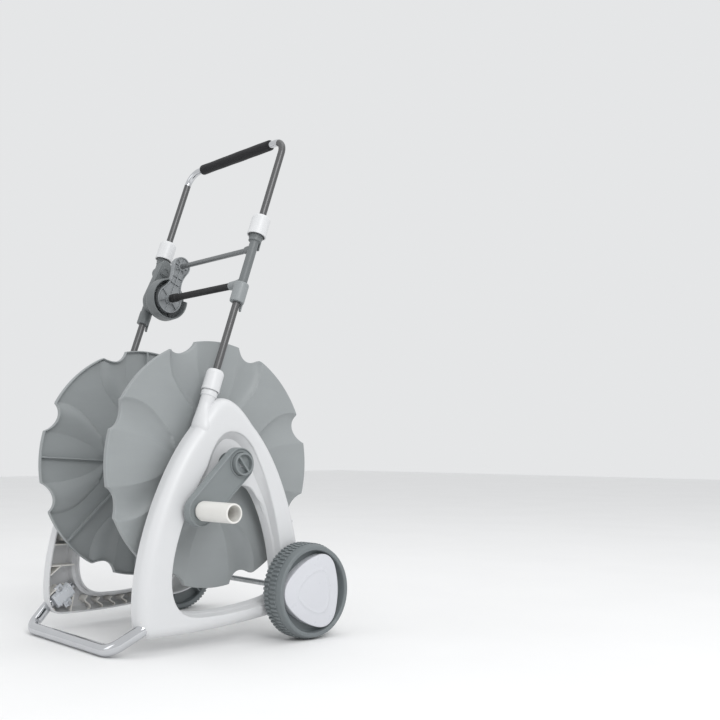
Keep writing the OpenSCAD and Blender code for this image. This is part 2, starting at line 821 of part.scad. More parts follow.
// Rubber-covered roller with a thicker end next to the lever
module guide_roller() color(black) cart() difference() {
    union() {
        bar(lever_face + gap, 104.4, roller_r, guide_y, guide_z);
        bar(lever_face + gap, -60, roller_r + 1.8, guide_y, guide_z);
    }
    bar(-100, 120, shaft_r + run, guide_y, guide_z);
}

module bail_washer() color(steel) cart()
    ring(cup_floor + 0.2, lever_boss_back - 0.3, 13, shaft_r + run, guide_y, guide_z);

lever_big_r = 27;
lever_small_r = 19;
lever_neck = 25;             // width of the lever's waist
rib = 2.4;

// Places children on the roller's axis, with +Y along the bail
module on_bail(along = 0) {
    translate([0, guide_y, guide_z]) rotate([90 - bail_lean, 0, 0])
        translate([0, along, 0]) children();
}

// Waisted neck of the lever, along +Y
module lever_neck_bar() {
    waist_r = 90;
    difference() {
        translate([lever_back, 0, -17])
            cube([lever_plate, bail_len - lever_small_r / 2, 34]);
        for (side = [-1, 1])
            translate([0, 0.58 * bail_len, side * (waist_r + lever_neck / 2)])
                bar(lever_back - 1, lever_face, waist_r);
    }
}

// Ribbed lever with a large round end that turns in the cup
module bail_lever() color(grey) cart() difference() {
    union() {
        on_bail() lever_neck_bar();
        on_bail(bail_len) bar(lever_back, lever_back + lever_plate, lever_small_r);
        on_bail(bail_len) bar(lever_back + 1, lever_back + lever_plate + 3, 8);
        on_bail() slab(lever_back + 1, lever_plate + 2) {
            translate([lever_big_r - 4, -rib / 2])
                square([bail_len - lever_big_r, rib]);
            translate([0.58 * bail_len, 2 - lever_neck / 2])
                square([rib, lever_neck - 4]);
        }
        difference() {
            bar(lever_boss_back, lever_face, lever_big_r, guide_y, guide_z);
            ring(lever_face - 4, lever_face + 1, lever_big_r - rib, 9, guide_y, guide_z);
        }
    }
    bar(-200, 0, shaft_r + run, guide_y, guide_z);
    on_bail(bail_len) bar(lever_back + 3, 0, rod_r);
}

// Cantilevered bail rod with a flared end
module bail_rod() color(steel) cart() on_bail(bail_len) {
    bar(lever_back + 3, 113, rod_r);
    bar(112, 120, rod_r, 0, 0, 8);
    bar(120, 130, 8);
}

frame_left();
frame_right();
hub_bushes();
foot_bar();
foot_clamps();
foot_screws();
axle();
axle_spacers();
axle_clips();
wheel_left();
wheel_right();
wheel_cap_left();
wheel_cap_right();
flange_left();
flange_right();
barrel();
journal_left();
journal_right();
flange_screws();
feed_pipe();
barrel_connector();
inlet_swivel();
inlet_seals();
inlet_screws();
crank_arm();
crank_knob();
crank_screw();
grip_pin();
crank_grip();
handle_tube();
foam_grip();
tube_plugs();
lower_collets();
lower_collar_left();
lower_collar_right();
guide_housing();
guide_sleeve();
guide_clamp();
guide_bolts();
guide_shaft();
upper_collets();
upper_collar_left();
upper_collar_right();
guide_roller();
bail_washer();
bail_lever();
bail_rod();
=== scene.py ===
"""Garden hose reel cart: the looks of the cart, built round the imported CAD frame.

Shapes are modelled in millimetres, measured from the drum's middle on the ground,
with +X towards the crank, -Y towards the foot bar and +Z up, and CART turns them
into the frame's metres.
"""

import json
import math

import bmesh
import bpy
from mathutils import Matrix, Vector


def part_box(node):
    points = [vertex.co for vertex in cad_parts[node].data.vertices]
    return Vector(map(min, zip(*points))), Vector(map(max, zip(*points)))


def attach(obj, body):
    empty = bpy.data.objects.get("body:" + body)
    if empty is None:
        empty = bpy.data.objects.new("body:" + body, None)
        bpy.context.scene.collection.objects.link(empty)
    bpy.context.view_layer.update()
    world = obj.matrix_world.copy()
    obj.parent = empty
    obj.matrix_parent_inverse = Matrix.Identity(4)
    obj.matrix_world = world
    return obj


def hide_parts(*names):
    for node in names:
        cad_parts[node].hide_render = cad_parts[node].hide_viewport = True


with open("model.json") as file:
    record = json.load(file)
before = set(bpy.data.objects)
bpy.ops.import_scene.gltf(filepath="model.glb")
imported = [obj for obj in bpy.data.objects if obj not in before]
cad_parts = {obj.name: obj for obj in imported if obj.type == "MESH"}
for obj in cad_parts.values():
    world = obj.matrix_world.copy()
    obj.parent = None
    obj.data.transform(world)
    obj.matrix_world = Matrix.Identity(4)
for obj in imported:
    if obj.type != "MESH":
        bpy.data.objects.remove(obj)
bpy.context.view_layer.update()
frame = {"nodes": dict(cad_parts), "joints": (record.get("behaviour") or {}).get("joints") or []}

# ---------------------------------------------------------------- sizes

MM = 0.001
JOINTS = {joint["name"]: joint for joint in frame["joints"]}


def joint_at(name):
    """A joint's place in the frame, in millimetres."""
    return [v / MM for v in JOINTS[name]["pos_m"]]


MID_X, _, DRUM_Z = joint_at("drum_spin")
_, WHEEL_Y, WHEEL_R = joint_at("right_wheel_spin")
_, GUIDE_Y, GUIDE_Z = joint_at("roller_spin")
COLLAR = joint_at("lower_lock_right_turn")
TUBE_X = COLLAR[0] - MID_X
LEAN = math.degrees(math.asin(JOINTS["handle_slide"]["axis"][1]))


def node_size(node, axis):
    """Lowest and highest place of a CAD node along an axis, in cart millimetres."""
    low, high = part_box(node)
    shift = MID_X if axis == 0 else 0
    return low[axis] / MM - shift, high[axis] / MM - shift


FRAME_IN = 139.0
FRAME_OUT = node_size("frame_right", 0)[1]
FLANGE_R = 210.0
FLANGE_X = 117.0
FLANGE_T = 2.6
BARREL_R = 70.0
DRUM_TURN = -3.0
HUB_FLOOR = 158.0
WALL = 3.0
TUBE_R = 6.35
HANDLE_LEN = 473.0
HANDLE_BEND = 28.0
TUBE_END = -92.5
CRANK_TURN = 223.0
CRANK_LEN = 108.0
CRANK_BACK = 180.0
CRANK_FACE = 196.0
KNOB_FACE = 205.0
GRIP_END = node_size("crank_grip", 0)[1]
GRIP_R = 16.0
WHEEL_IN, WHEEL_OUT = node_size("wheel_right", 0)
BAIL_LEN = 71.2
BAIL_LEAN = 23.0
FOOT_TILT = 34.9
FOOT_Y = 211.0
FOOT_R = 10.0
FOOT_BEND_X = 134.6
FOOT_TAIL_X = 158.0
FOOT_DEPTH = 54.6
CART = Matrix.Scale(MM, 4) @ Matrix.Translation((MID_X, 0, 0))

SIDES = (("right", 1), ("left", -1))

# ---------------------------------------------------------------- places


def turn(angle, axis="X"):
    return Matrix.Rotation(math.radians(angle), 4, axis)


def shift(x=0.0, y=0.0, z=0.0):
    return Matrix.Translation((x, y, z))


def side_of(side):
    """Identity for the right side, a mirror for the left."""
    return Matrix.Diagonal((side, 1, 1, 1))


ALONG_Z = turn(-90, "Y")


def on_tube(s, side=1):
    """A place s along a handle tube, with +Z up the tube."""
    place = shift(TUBE_X, COLLAR[1], COLLAR[2]) @ turn(-LEAN) @ shift(z=s)
    return side_of(side) @ place


def on_drum(angle=0.0):
    return shift(z=DRUM_Z) @ turn(DRUM_TURN + angle)


def on_crank(along=0.0):
    return shift(z=DRUM_Z) @ turn(CRANK_TURN) @ shift(y=along)


def on_guide():
    return shift(y=GUIDE_Y, z=GUIDE_Z)


def on_bail(along=0.0):
    return on_guide() @ turn(90 - BAIL_LEAN) @ shift(y=along)


def on_foot(x=0.0, y=0.0):
    return shift(y=-FOOT_Y, z=FOOT_R) @ turn(FOOT_TILT) @ shift(x, y)


def on_wheel(side=1):
    return side_of(side) @ shift(y=WHEEL_Y, z=WHEEL_R)


# ---------------------------------------------------------------- outlines


def curve_point(curve, t):
    """A point at a share t along a cubic curve of four points."""
    weights = ((1 - t) ** 3, 3 * (1 - t) ** 2 * t, 3 * (1 - t) * t * t, t**3)
    return tuple(sum(w * p[i] for w, p in zip(weights, curve)) for i in (0, 1))


def closed_outline(curves):
    """A closed outline. Each curve starts at the last point of the one before it."""
    steps = 20
    points = []
    for i, curve in enumerate(curves):
        whole = (curves[i - 1][-1], *curve)
        points += [curve_point(whole, k / steps) for k in range(steps)]
    return points


def round_angles(steps):
    """Equal angles round a circle, in radians."""
    return [2 * math.pi * i / steps for i in range(steps)]


def inset(points, distance):
    """The closed anticlockwise outline moved inwards."""
    moved = []
    for i, (y, z) in enumerate(points):
        before, after = points[i - 1], points[(i + 1) % len(points)]
        run, rise = after[0] - before[0], after[1] - before[1]
        size = math.hypot(run, rise) or 1.0
        moved.append((y - distance * rise / size, z + distance * run / size))
    return moved


def mix(a, b, t):
    return tuple(p + (q - p) * t for p, q in zip(a, b))


def mixed(first, second, t):
    return [mix(a, b, t) for a, b in zip(first, second)]


def two_rounds(length, near_r, far_r):
    """A round at each end of a length along +Y, joined by straight sides."""
    steps = 28
    lean = math.asin((near_r - far_r) / length)
    ends = ((length, far_r, lean - math.pi / 2, math.pi - 2 * lean),
            (0, near_r, math.pi / 2 - lean, math.pi + 2 * lean))
    return [(centre + r * math.cos(start + sweep_by * i / steps),
             r * math.sin(start + sweep_by * i / steps))
            for centre, r, start, sweep_by in ends for i in range(steps + 1)]


def smoothstep(low, high, value):
    t = max(0.0, min(1.0, (value - low) / (high - low)))
    return t * t * (3 - 2 * t)


def rounded(points, radius, steps=4, closed=True):
    """A path with its corners rounded. A point may carry its own radius as a third value."""
    path = []
    count = len(points)
    for i, point in enumerate(points):
        if not closed and i in (0, count - 1):
            path.append(point[:2])
            continue
        here = Vector(point[:2])
        r = point[2] if len(point) > 2 else radius
        ends = []
        for other in (points[i - 1], points[(i + 1) % count]):
            step = Vector(other[:2]) - here
            ends.append((step.normalized(), step.length))
        bend = ends[0][0].angle(ends[1][0], math.pi)
        reach = r / max(math.tan(bend / 2), 0.05)
        reach = min(reach, 0.48 * ends[0][1], 0.48 * ends[1][1])
        if r <= 0 or reach < 1e-4:
            path.append(tuple(here))
            continue
        start, end = here + ends[0][0] * reach, here + ends[1][0] * reach
        for k in range(steps + 1):
            t = k / steps
            path.append(tuple(start * (1 - t) ** 2 + here * 2 * t * (1 - t) + end * t * t))
    return path


# ---------------------------------------------------------------- mesh parts


def quarter_turn(steps):
    """Equal angles from nothing to a right angle, both included."""
    return [math.pi / 2 * i / steps for i in range(steps + 1)]


def stacked(levels):
    """Rows of points from (outline in Y and Z, place along X) pairs."""
    return [[(x, y, z) for y, z in outline] for outline, x in levels]


def polar(r, angle):
    """A point in Y and Z at a radius and an angle in degrees from +Y."""
    a = math.radians(angle)
    return r * math.cos(a), r * math.sin(a)


def rows_mesh(rows, wrap=False):
    """Faces between rows of points that each run round a ring, capped unless they wrap."""
    count = len(rows[0])
    verts = [p for row in rows for p in row]
    faces = []
    for j in range(len(rows) - (0 if wrap else 1)):
        a, b = j * count, ((j + 1) % len(rows)) * count
        for i in range(count):
            k = (i + 1) % count
            faces.append((a + i, a + k, b + k, b + i))
    if not wrap:
        faces.append(tuple(range(count))[::-1])
        last = (len(rows) - 1) * count
        faces.append(tuple(range(last, last + count)))
    return verts, faces


def lathe(profile, steps=64, closed=False):
    """A profile of (x, r) points spun round the X axis."""
    rows = [[(x, r * math.cos(a), r * math.sin(a)) for a in round_angles(steps)]
            for x, r in profile]
    return rows_mesh(rows, wrap=closed)


def turned(profile, edge=0.4, steps=3, segments=64):
    """A closed profile of (x, r) points with eased corners, spun round the X axis."""
    return lathe(rounded(profile, edge, steps), segments, closed=True)


def bar(x0, x1, r, edge=0.6):
    """A solid round bar along X with eased ends."""
    ends = rounded([(x0, 0.01), (x0, r), (x1, r), (x1, 0.01)], edge, closed=False)
    return lathe(ends, 48)


def ring(x0, x1, r, hole, edge=0.5):
    """A ring along X with eased edges."""
    return turned([(x0, hole), (x0, r), (x1, r), (x1, hole)], edge)


def plate(outline, x0, x1, edge=1.0, steps=3):
    """An outline in Y and Z as a plate from x0 to x1 with eased rims."""
    eases = [(1 - math.sin(a), 1 - math.cos(a)) for a in quarter_turn(steps)]
    levels = [(x0 + edge * along, edge * inwards) for inwards, along in eases]
    levels += [(x1 - edge * along, edge * inwards) for along, inwards in eases]
    return rows_mesh(stacked((inset(outline, inwards), x) for x, inwards in levels))


def block(x0, x1, y0, y1, z0, z1, edge=0.5):
    """A box with eased edges."""
    path = rounded([(y0, z0), (y1, z0), (y1, z1), (y0, z1)], edge * 1.5, 3)
    return plate(path, x0, x1, edge)


def sweep(path, radius, steps=32):
    """A round bar along a path of points."""
    path = [Vector(p) for p in path]
    rows = []
    across = None
    for i, point in enumerate(path):
        along = path[min(i + 1, len(path) - 1)] - path[max(i - 1, 0)]
        along.normalize()
        if across is None:
            across = along.orthogonal().normalized()
        across = (across - along * across.dot(along)).normalized()
        other = along.cross(across)
        rows.append([point + (across * math.cos(a) + other * math.sin(a)) * radius
                     for a in round_angles(steps)])
    return rows_mesh(rows)


def thin_wall(path, x0, x1, thick):
    """An upright rib that follows a path in Y and Z, standing from x0 to x1."""
    left, right = [], []
    for i, (y, z) in enumerate(path):
        before, after = path[max(i - 1, 0)], path[min(i + 1, len(path) - 1)]
        run, rise = after[0] - before[0], after[1] - before[1]
        size = math.hypot(run, rise) or 1.0
        dy, dz = -rise / size * thick / 2, run / size * thick / 2
        left.append((y + dy, z + dz))
        right.append((y - dy, z - dz))
    outline = right + left[::-1]
    return plate(outline, x0, x1, min(0.4, thick / 3), 2)


class Shell:
    """The vertices and faces of one piece, in cart millimetres."""

    def __init__(self):
        self.verts = []
        self.faces = []

    def add(self, part, place=Matrix.Identity(4)):
        verts, faces = part
        first = len(self.verts)
        flip = place.determinant() < 0
        self.verts += [place @ Vector(v) for v in verts]
        for face in faces:
            indices = [i + first for i in face]
            self.faces.append(indices[::-1] if flip else indices)

    def make(self, name, body, material, stands_for=(), crease=38):
        mesh = bpy.data.meshes.new(name)
        mesh.from_pydata([CART @ v for v in self.verts], [], self.faces)
        work = bmesh.new()
        work.from_mesh(mesh)
        bmesh.ops.remove_doubles(work, verts=work.verts, dist=0.002 * MM)
        bmesh.ops.recalc_face_normals(work, faces=work.faces)
        work.to_mesh(mesh)
        work.free()
        mesh.shade_smooth()
        mesh.set_sharp_from_angle(angle=math.radians(crease))
        piece = bpy.data.objects.new(name, mesh)
        bpy.context.scene.collection.objects.link(piece)
        mesh.materials.append(material)
        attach(piece, body)
        if stands_for:
            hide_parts(*stands_for)
        return piece


# ---------------------------------------------------------------- materials


class Surface:
    """A node material whose colour, roughness and bump come from noise in object space."""

    def __init__(self, name, **sockets):
        self.material = bpy.data.materials.new(name)
        self.material.use_nodes = True
        self.nodes = self.material.node_tree.nodes
        self.links = self.material.node_tree.links
        self.shader = self.nodes["Principled BSDF"]
        self.fill(self.shader, sockets)
        self.place = self.nodes.new("ShaderNodeTexCoord").outputs["Object"]

    def fill(self, node, inputs):
        """Inputs given as values are set, and those given as other nodes' outputs are linked."""
        for name, value in inputs.items():
            socket = node.inputs[name.replace("_", " ")]
            if isinstance(value, bpy.types.NodeSocket):
                self.links.new(value, socket)
            else:
                socket.default_value = value

    def node(self, kind, **inputs):
        node = self.nodes.new("ShaderNode" + kind)
        self.fill(node, inputs)
        return node

    def stretched(self, scale):
        """Object coordinates scaled apart along X, Y and Z."""
        return self.node("Mapping", Scale=scale, Vector=self.place).outputs["Vector"]

    def noise(self, scale, detail=3.0, rough=0.55, place=None):
        place = place or self.place
        node = self.node("TexNoise", Scale=scale, Detail=detail, Roughness=rough, Vector=place)
        return node.outputs["Fac"]

    def cells(self, scale):
        return self.node("TexVoronoi", Scale=scale, Vector=self.place).outputs["Distance"]

    def ramp(self, value, stops):
        """A value as a colour, from (value, colour) stops."""
        node = self.node("ValToRGB", Fac=value)
        ramp = node.color_ramp
        while len(ramp.elements) < len(stops):
            ramp.elements.new(0.5)
        for element, (place, colour) in zip(ramp.elements, stops):
            element.position = place
            element.color = (*colour, 1.0)
        return node.outputs["Color"]

    def span(self, value, low, high, start=0.3, end=0.7):
        """A value from start to end as a number from low to high."""
        limits = {"From_Min": start, "From_Max": end, "To_Min": low, "To_Max": high}
        return self.node("MapRange", Value=value, **limits).outputs["Result"]

    def blend(self, first, second, share):
        node = self.nodes.new("ShaderNodeMix")
        node.data_type = "RGBA"
        self.links.new(share, node.inputs["Factor"])
        for socket, value in ((node.inputs[6], first), (node.inputs[7], second)):
            if isinstance(value, tuple):
                socket.default_value = (*value, 1.0)
            else:
                self.links.new(value, socket)
        return node.outputs[2]

    def colour(self, value):
        self.fill(self.shader, {"Base_Color": value})

    def roughness(self, value):
        self.fill(self.shader, {"Roughness": value})

    def bump(self, value, depth_mm, strength=1.0):
        """Relief on top of the relief that is there already."""
        node = self.node("Bump", Distance=depth_mm * MM, Strength=strength, Height=value)
        earlier = self.shader.inputs["Normal"]
        if earlier.is_linked:
            self.links.new(earlier.links[0].from_socket, node.inputs["Normal"])
            self.links.remove(earlier.links[0])
        self.links.new(node.outputs["Normal"], earlier)

    def painted_edge_highlight(self, base, highlight_colour, amount):
        """A paler colour, a painted highlight, shows a little where the surface is sharply convex.
        """
        point = self.nodes.new("ShaderNodeNewGeometry").outputs["Pointiness"]
        share = self.span(point, 0.0, amount, 0.52, 0.6)
        return self.blend(base, highlight_colour, share)


def scaled(colour, share):
    return tuple(v * share for v in colour)


def moulded(name, colour, rough, grain=0.02, flow=0.04, edge_highlight=0.3, ripple=0.02, speck=0.93,
            **sockets):
    """Moulded plastic: a fine texture, faint flow marks and a painted highlight on sharp edges."""
    look = Surface(name, **sockets)
    flows = look.noise(9, 4, 0.6, look.stretched((1.0, 1.0, 2.4)))
    base = look.ramp(flows, [(0.3, scaled(colour, 1 - flow)), (0.7, scaled(colour, 1 + flow))])
    specks = look.noise(420, 2)
    base = look.blend(base, scaled(colour, speck), look.span(specks, 0.0, 0.5, 0.62, 0.72))
    pale = tuple(min(1.0, v * 1.25 + 0.04) for v in colour)
    # Sharply convex edges turn paler: a painted edge highlight.
    look.colour(look.painted_edge_highlight(base, pale, edge_highlight))
    look.roughness(look.span(look.noise(60, 4), *rough))
    look.bump(look.noise(1400, 2), grain)
    look.bump(look.noise(22, 2), ripple, 0.3)
    return look.material


def lacquered(name, colour):
    """Metallic lacquer on steel tube: fine flakes, faint drawn lines along the tube."""
    look = Surface(name, Metallic=0.6)
    flakes = look.cells(2600)
    base = look.ramp(flakes, [(0.15, scaled(colour, 1.05)), (0.6, scaled(colour, 0.95))])
    scuffs = look.noise(24, 6, 0.7)
    base = look.blend(base, scaled(colour, 1.25), look.span(scuffs, 0.0, 0.2, 0.62, 0.8))
    look.colour(base)
    look.roughness(look.span(look.noise(90, 3), 0.34, 0.42))
    look.bump(look.noise(60, 2, 0.5, look.stretched((6.0, 6.0, 0.4))), 0.008, 0.3)
    return look.material


def plated(name, colour):
    """Bright plating with faint polishing lines and thin haze."""
    look = Surface(name, Metallic=1.0)
    haze = look.noise(30, 5)
    look.colour(look.ramp(haze, [(0.3, scaled(colour, 0.94)), (0.7, colour)]))
    look.roughness(look.span(look.noise(140, 5, 0.65), 0.06, 0.13))
    look.bump(look.noise(500, 3, 0.6, look.stretched((0.3, 3.0, 3.0))), 0.004, 0.5)
    return look.material


def brushed(name, colour):
    """Zinc-plated steel with a turned finish."""
    look = Surface(name, Metallic=1.0)
    cloud = look.noise(220, 4)
    look.colour(look.ramp(cloud, [(0.3, scaled(colour, 0.85)), (0.7, scaled(colour, 1.12))]))
    look.roughness(look.span(look.noise(500, 3), 0.26, 0.42))
    look.bump(look.noise(900, 3, 0.6, look.stretched((0.2, 2.0, 2.0))), 0.01, 0.5)
    return look.material


def foam_material():
    """Closed-cell foam: fine open pores and a soft matte skin."""
    look = Surface("foam", Sheen_Weight=0.08, Specular_IOR_Level=0.2)
    pores = look.cells(1500)
    dark, light = (0.006, 0.006, 0.007), (0.02, 0.02, 0.022)
    look.colour(look.ramp(pores, [(0.05, dark), (0.4, light)]))
    look.roughness(look.span(look.noise(300, 3), 0.72, 0.92))
    look.bump(pores, 0.25, 0.7)
    look.bump(look.noise(240, 4), 0.3, 0.6)
    return look.material


def rubber_material():
    """Matte rubber with a faint pale bloom."""
    look = Surface("black_rubber", Specular_IOR_Level=0.35)
    colour = (0.014, 0.014, 0.015)
    bloom = look.noise(90, 5)
    look.colour(look.ramp(bloom, [(0.35, colour), (0.75, scaled(colour, 1.6))]))
    look.roughness(look.span(look.noise(260, 4), 0.5, 0.68))
    look.bump(look.noise(1600, 2), 0.03, 0.6)
    return look.material


def milky_material():
    """Milky, half-clear plastic of the foot clamps."""
    look = Surface("milky_plastic", Transmission_Weight=0.15, IOR=1.46)
    cloud = look.noise(45, 4)
    look.colour(look.ramp(cloud, [(0.3, (0.74, 0.77, 0.81)), (0.7, (0.80, 0.83, 0.87))]))
    look.roughness(look.span(look.noise(150, 3), 0.22, 0.4))
    look.bump(look.noise(60, 3), 0.03, 0.4)
    return look.material


def lever_material():
    """Speckled silver plastic of the bail lever."""
    look = Surface("speckled_silver", Metallic=0.35)
    flakes = look.noise(900, 3, 0.7)
    stops = [(0.3, (0.25, 0.265, 0.275)), (0.5, (0.29, 0.305, 0.315)), (0.7, (0.34, 0.355, 0.365))]
    look.colour(look.ramp(flakes, stops))
    look.roughness(look.span(look.noise(220, 4), 0.28, 0.45))
    look.bump(look.noise(700, 3), 0.03, 0.6)
    return look.material


WHITE = moulded("white_plastic", (0.655, 0.662, 0.672), (0.36, 0.44), grain=0.004, flow=0.008,
                edge_highlight=0.03, ripple=0.004, speck=0.995, Coat_Weight=0.1, Coat_Roughness=0.3)
CAP_WHITE = moulded("cap_plastic", (0.62, 0.63, 0.665), (0.26, 0.34), grain=0.006, flow=0.01,
                    edge_highlight=0.03, ripple=0.004, speck=0.995)
# The ribs are the frame's own white plastic; their brighter, warmer colour is painted light that
# lifts the shaded pocket behind the face.
RIB_WHITE_PAINTED_LIGHT = moulded("frame_inside_painted_light", (0.70, 0.685, 0.65), (0.35, 0.5), edge_highlight=0.4)
DRUM = moulded("drum_plastic", (0.292, 0.311, 0.316), (0.36, 0.48), flow=0.035, edge_highlight=0.22)
BARREL = moulded("barrel_plastic", (0.13, 0.145, 0.148), (0.45, 0.6), 0.03, 0.06, 0.2)
CRANK = moulded("crank_plastic", (0.20, 0.22, 0.225), (0.36, 0.48))
WHEEL = moulded("wheel_plastic", (0.165, 0.185, 0.192), (0.42, 0.56), 0.03, 0.05, 0.35)
GUIDE = moulded("guide_plastic", (0.148, 0.16, 0.164), (0.34, 0.48), 0.025, 0.05, 0.35)
CLAMP = moulded("clamp_plastic", (0.25, 0.268, 0.275), (0.34, 0.48))
GRIP = moulded("grip_plastic", (0.74, 0.73, 0.70), (0.28, 0.4), 0.012, 0.02, 0.1)
PIPE = moulded("pipe_plastic", (0.03, 0.03, 0.033), (0.4, 0.55), 0.02, 0.1, 0.2)
TUBE = lacquered("graphite_lacquer", (0.12, 0.12, 0.122))
ROD = lacquered("grey_lacquer", (0.21, 0.22, 0.225))
CHROME = plated("chrome", (0.62, 0.63, 0.65))
STEEL = brushed("zinc_steel", (0.56, 0.57, 0.59))
AXLE = brushed("axle_steel", (0.58, 0.6, 0.61))
FOAM = foam_material()
RUBBER = rubber_material()
MILKY = milky_material()
SILVER = lever_material()

# Finish of the CAD nodes that stay as they are
CAD_FINISH = (
    (BARREL, ("hub_bushes", "axle_spacers", "barrel", "journal_left", "journal_right",
              "inlet_swivel")),
    (STEEL, ("foot_screws", "axle_clips", "flange_screws", "inlet_screws", "crank_screw",
             "grip_pin", "guide_shaft", "bail_washer")),
    (PIPE, ("feed_pipe", "tube_plugs", "lower_collets", "upper_collets")),
    (AXLE, ("axle",)),
    (WHITE, ("barrel_connector",)),
    (RUBBER, ("inlet_seals",)),
    (GUIDE, ("guide_bolts",)),
)

for finish, node_names in CAD_FINISH:
    for node_name in node_names:
        slots = frame["nodes"][node_name].data.materials
        slots.clear()
        slots.append(finish)

# ---------------------------------------------------------------- side frames

# Cubic curves, each as its two handles and its end
OUTER = closed_outline((
    ((-60, 24), (20, 30), (100, 40)),          # under the bottom beam
    ((138, 44), (164, 58), (161, 85)),         # back foot, at the wheel
    ((150, 190), (118, 300), (50, 366)),       # back leg
    ((28, 394), (8, 409), (-12, 408)),         # apex
    ((-32, 407), (-46, 388), (-66, 356)),
    ((-128, 290), (-176, 160), (-176, 76)),    # front leg
    ((-176, 40), (-170, 27), (-146, 26)),      # front foot
))
OPENING = closed_outline((
    ((-10, 56), (50, 62), (85, 70)),
    ((98, 73), (104, 85), (103, 105)),
    ((102, 160), (80, 222), (56, 252)),
    ((46, 262), (30, 262), (0, 262)),
    ((-40, 262), (-50, 266), (-64, 246)),
    ((-92, 206), (-113, 165), (-113, 115)),
    ((-113, 75), (-95, 59), (-60, 58)),
))
POCKET = closed_outline((
    ((-10, 50), (50, 56), (88, 64)),
    ((104, 68), (110, 85), (109, 105)),
    ((108, 165), (86, 250), (55, 306)),
    ((40, 338), (20, 351), (0, 351)),
    ((-22, 351), (-38, 330), (-50, 294)),
    ((-88, 236), (-119, 165), (-119, 115)),
    ((-119, 70), (-98, 53), (-60, 52)),
))
HUB_SHARE = [smoothstep(240, 290, z) for y, z in POCKET]


def by_share(low_part, hub_part):
    """low_part away from the hub and hub_part round it."""
    return [mix(a, b, w) for a, b, w in zip(low_part, hub_part, HUB_SHARE)]


def frame_rows():
    """Rows of a frame's moulded shell, from the back rim over the face to the back again."""
    round_y, round_x, lip = 17.0, 19.0, 3.0
    under = FRAME_OUT - WALL
    recess = inset(POCKET, 11)
    levels = [(inset(OUTER, WALL), FRAME_IN), (inset(OUTER, 0.8), FRAME_IN),
              (OUTER, FRAME_IN + 0.8), (OUTER, FRAME_OUT - round_x - 4)]
    levels += [(inset(OUTER, round_y * (1 - math.cos(a))), FRAME_OUT - round_x * (1 - math.sin(a)))
               for a in quarter_turn(10)]
    edge_outer, edge_inner = inset(OUTER, round_y), inset(POCKET, -lip)
    levels += [(mixed(edge_outer, edge_inner, t), FRAME_OUT) for t in (0.2, 0.4, 0.6, 0.8)]
    levels += [(inset(POCKET, -lip * (1 - math.sin(a))), FRAME_OUT - lip * (1 - math.cos(a)))
               for a in quarter_turn(4)]
    levels.append((by_share(mixed(POCKET, OPENING, 0.3), inset(POCKET, 7)), HUB_FLOOR + 4))
    levels.append((by_share(mixed(POCKET, OPENING, 0.42), recess), HUB_FLOOR))
    for t in (0.25, 0.5, 0.75):
        flat = mixed(recess, inset(OPENING, -2), t)
        slope = mixed(POCKET, OPENING, 0.44 + 0.1 * t)
        levels.append((by_share(slope, flat), HUB_FLOOR - 1.5 * t))
    levels += [
        (by_share(mixed(POCKET, OPENING, 0.6), inset(OPENING, -1.5)), HUB_FLOOR - 2),
        (by_share(mixed(POCKET, OPENING, 0.7), OPENING), HUB_FLOOR - 3.5),
        (OPENING, FRAME_IN + 0.8),
        (inset(OPENING, -0.8), FRAME_IN),
        (inset(OPENING, -WALL), FRAME_IN),
        (inset(OPENING, -WALL), HUB_FLOOR - 6),
        (by_share(inset(POCKET, -WALL), inset(POCKET, 14)), HUB_FLOOR - 5),
        (inset(POCKET, -WALL - 2), under - 3),
        (inset(POCKET, -WALL - 5), under),
        (inset(OUTER, round_y + 1), under),
        (inset(OUTER, 8), under - 4),
        (inset(OUTER, WALL + 1), under - 12),
        (inset(OUTER, WALL), under - 18),
    ]
    return stacked(levels)


def inner_span(height):
    """The frame's hollow at a height: (outer wall, inner wall) pairs of Y."""
    def crossings(outline):
        found = []
        for i, (y, z) in enumerate(outline):
            y2, z2 = outline[(i + 1) % len(outline)]
            if (z - height) * (z2 - height) < 0:
                found.append(y + (y2 - y) * (height - z) / (z2 - z))
        return sorted(found)
    outer, inner = crossings(inset(OUTER, 2.5)), crossings(inset(POCKET, -2.5))
    return [(outer[0], inner[0]), (outer[-1], inner[-1])]


RIB_TOP = 168.5              # ribs meet the face's inner side here
# A rib's stretches across the frame, each with its start's distance from the outer edge
STEPS_IN = ((143, 150, 0.0), (149.6, 158, 4.5), (157.6, 164, 10.0), (163.6, RIB_TOP, 16.0))
LEG_RIBS = (112, 150, 196, 240, 286)
APEX_RIB = 330
BEAM_RIBS = range(-92, 91, 26)
LEG_BOXES = ((-139, 168), (-128, 212), (121, 176), (109, 218))
BRACES = (((-169, 96), (-147, 112)), ((-128, 28), (-122, 58)), ((-171, 60), (-150, 76)))
FOOT_RIBS = (58, 70, 84, 98)


def stepped_rib(shell, place, start, end):
    """A straight rib whose start follows the frame's rounded outer edge."""
    size = math.hypot(end[0] - start[0], end[1] - start[1])
    for x0, x1, back in STEPS_IN:
        if back < size - 3:
            near = mix(start, end, back / size)
            shell.add(thin_wall([near, end], x0, x1, 2.2), place)


def beam_top(place_y):
    """The top of the hollow in the bottom beam at a place."""
    near = [z for y, z in POCKET if abs(y - place_y) < 6 and z < 90]
    return min(near) - WALL - 1.5


def wavy_rib(shell, place, y, low):
    """An S-shaped rib across the bottom beam."""
    steps = 14
    high = beam_top(y)
    path = [(y + 5.5 * math.sin(2 * math.pi * i / steps), low + (high - low) * i / steps)
            for i in range(steps + 1)]
    for first, x0, x1 in ((0, FRAME_IN + 5, 150), (3, 149.6, 160), (7, 159.6, RIB_TOP)):
        shell.add(thin_wall(path[first:], x0, x1, 1.8), place)


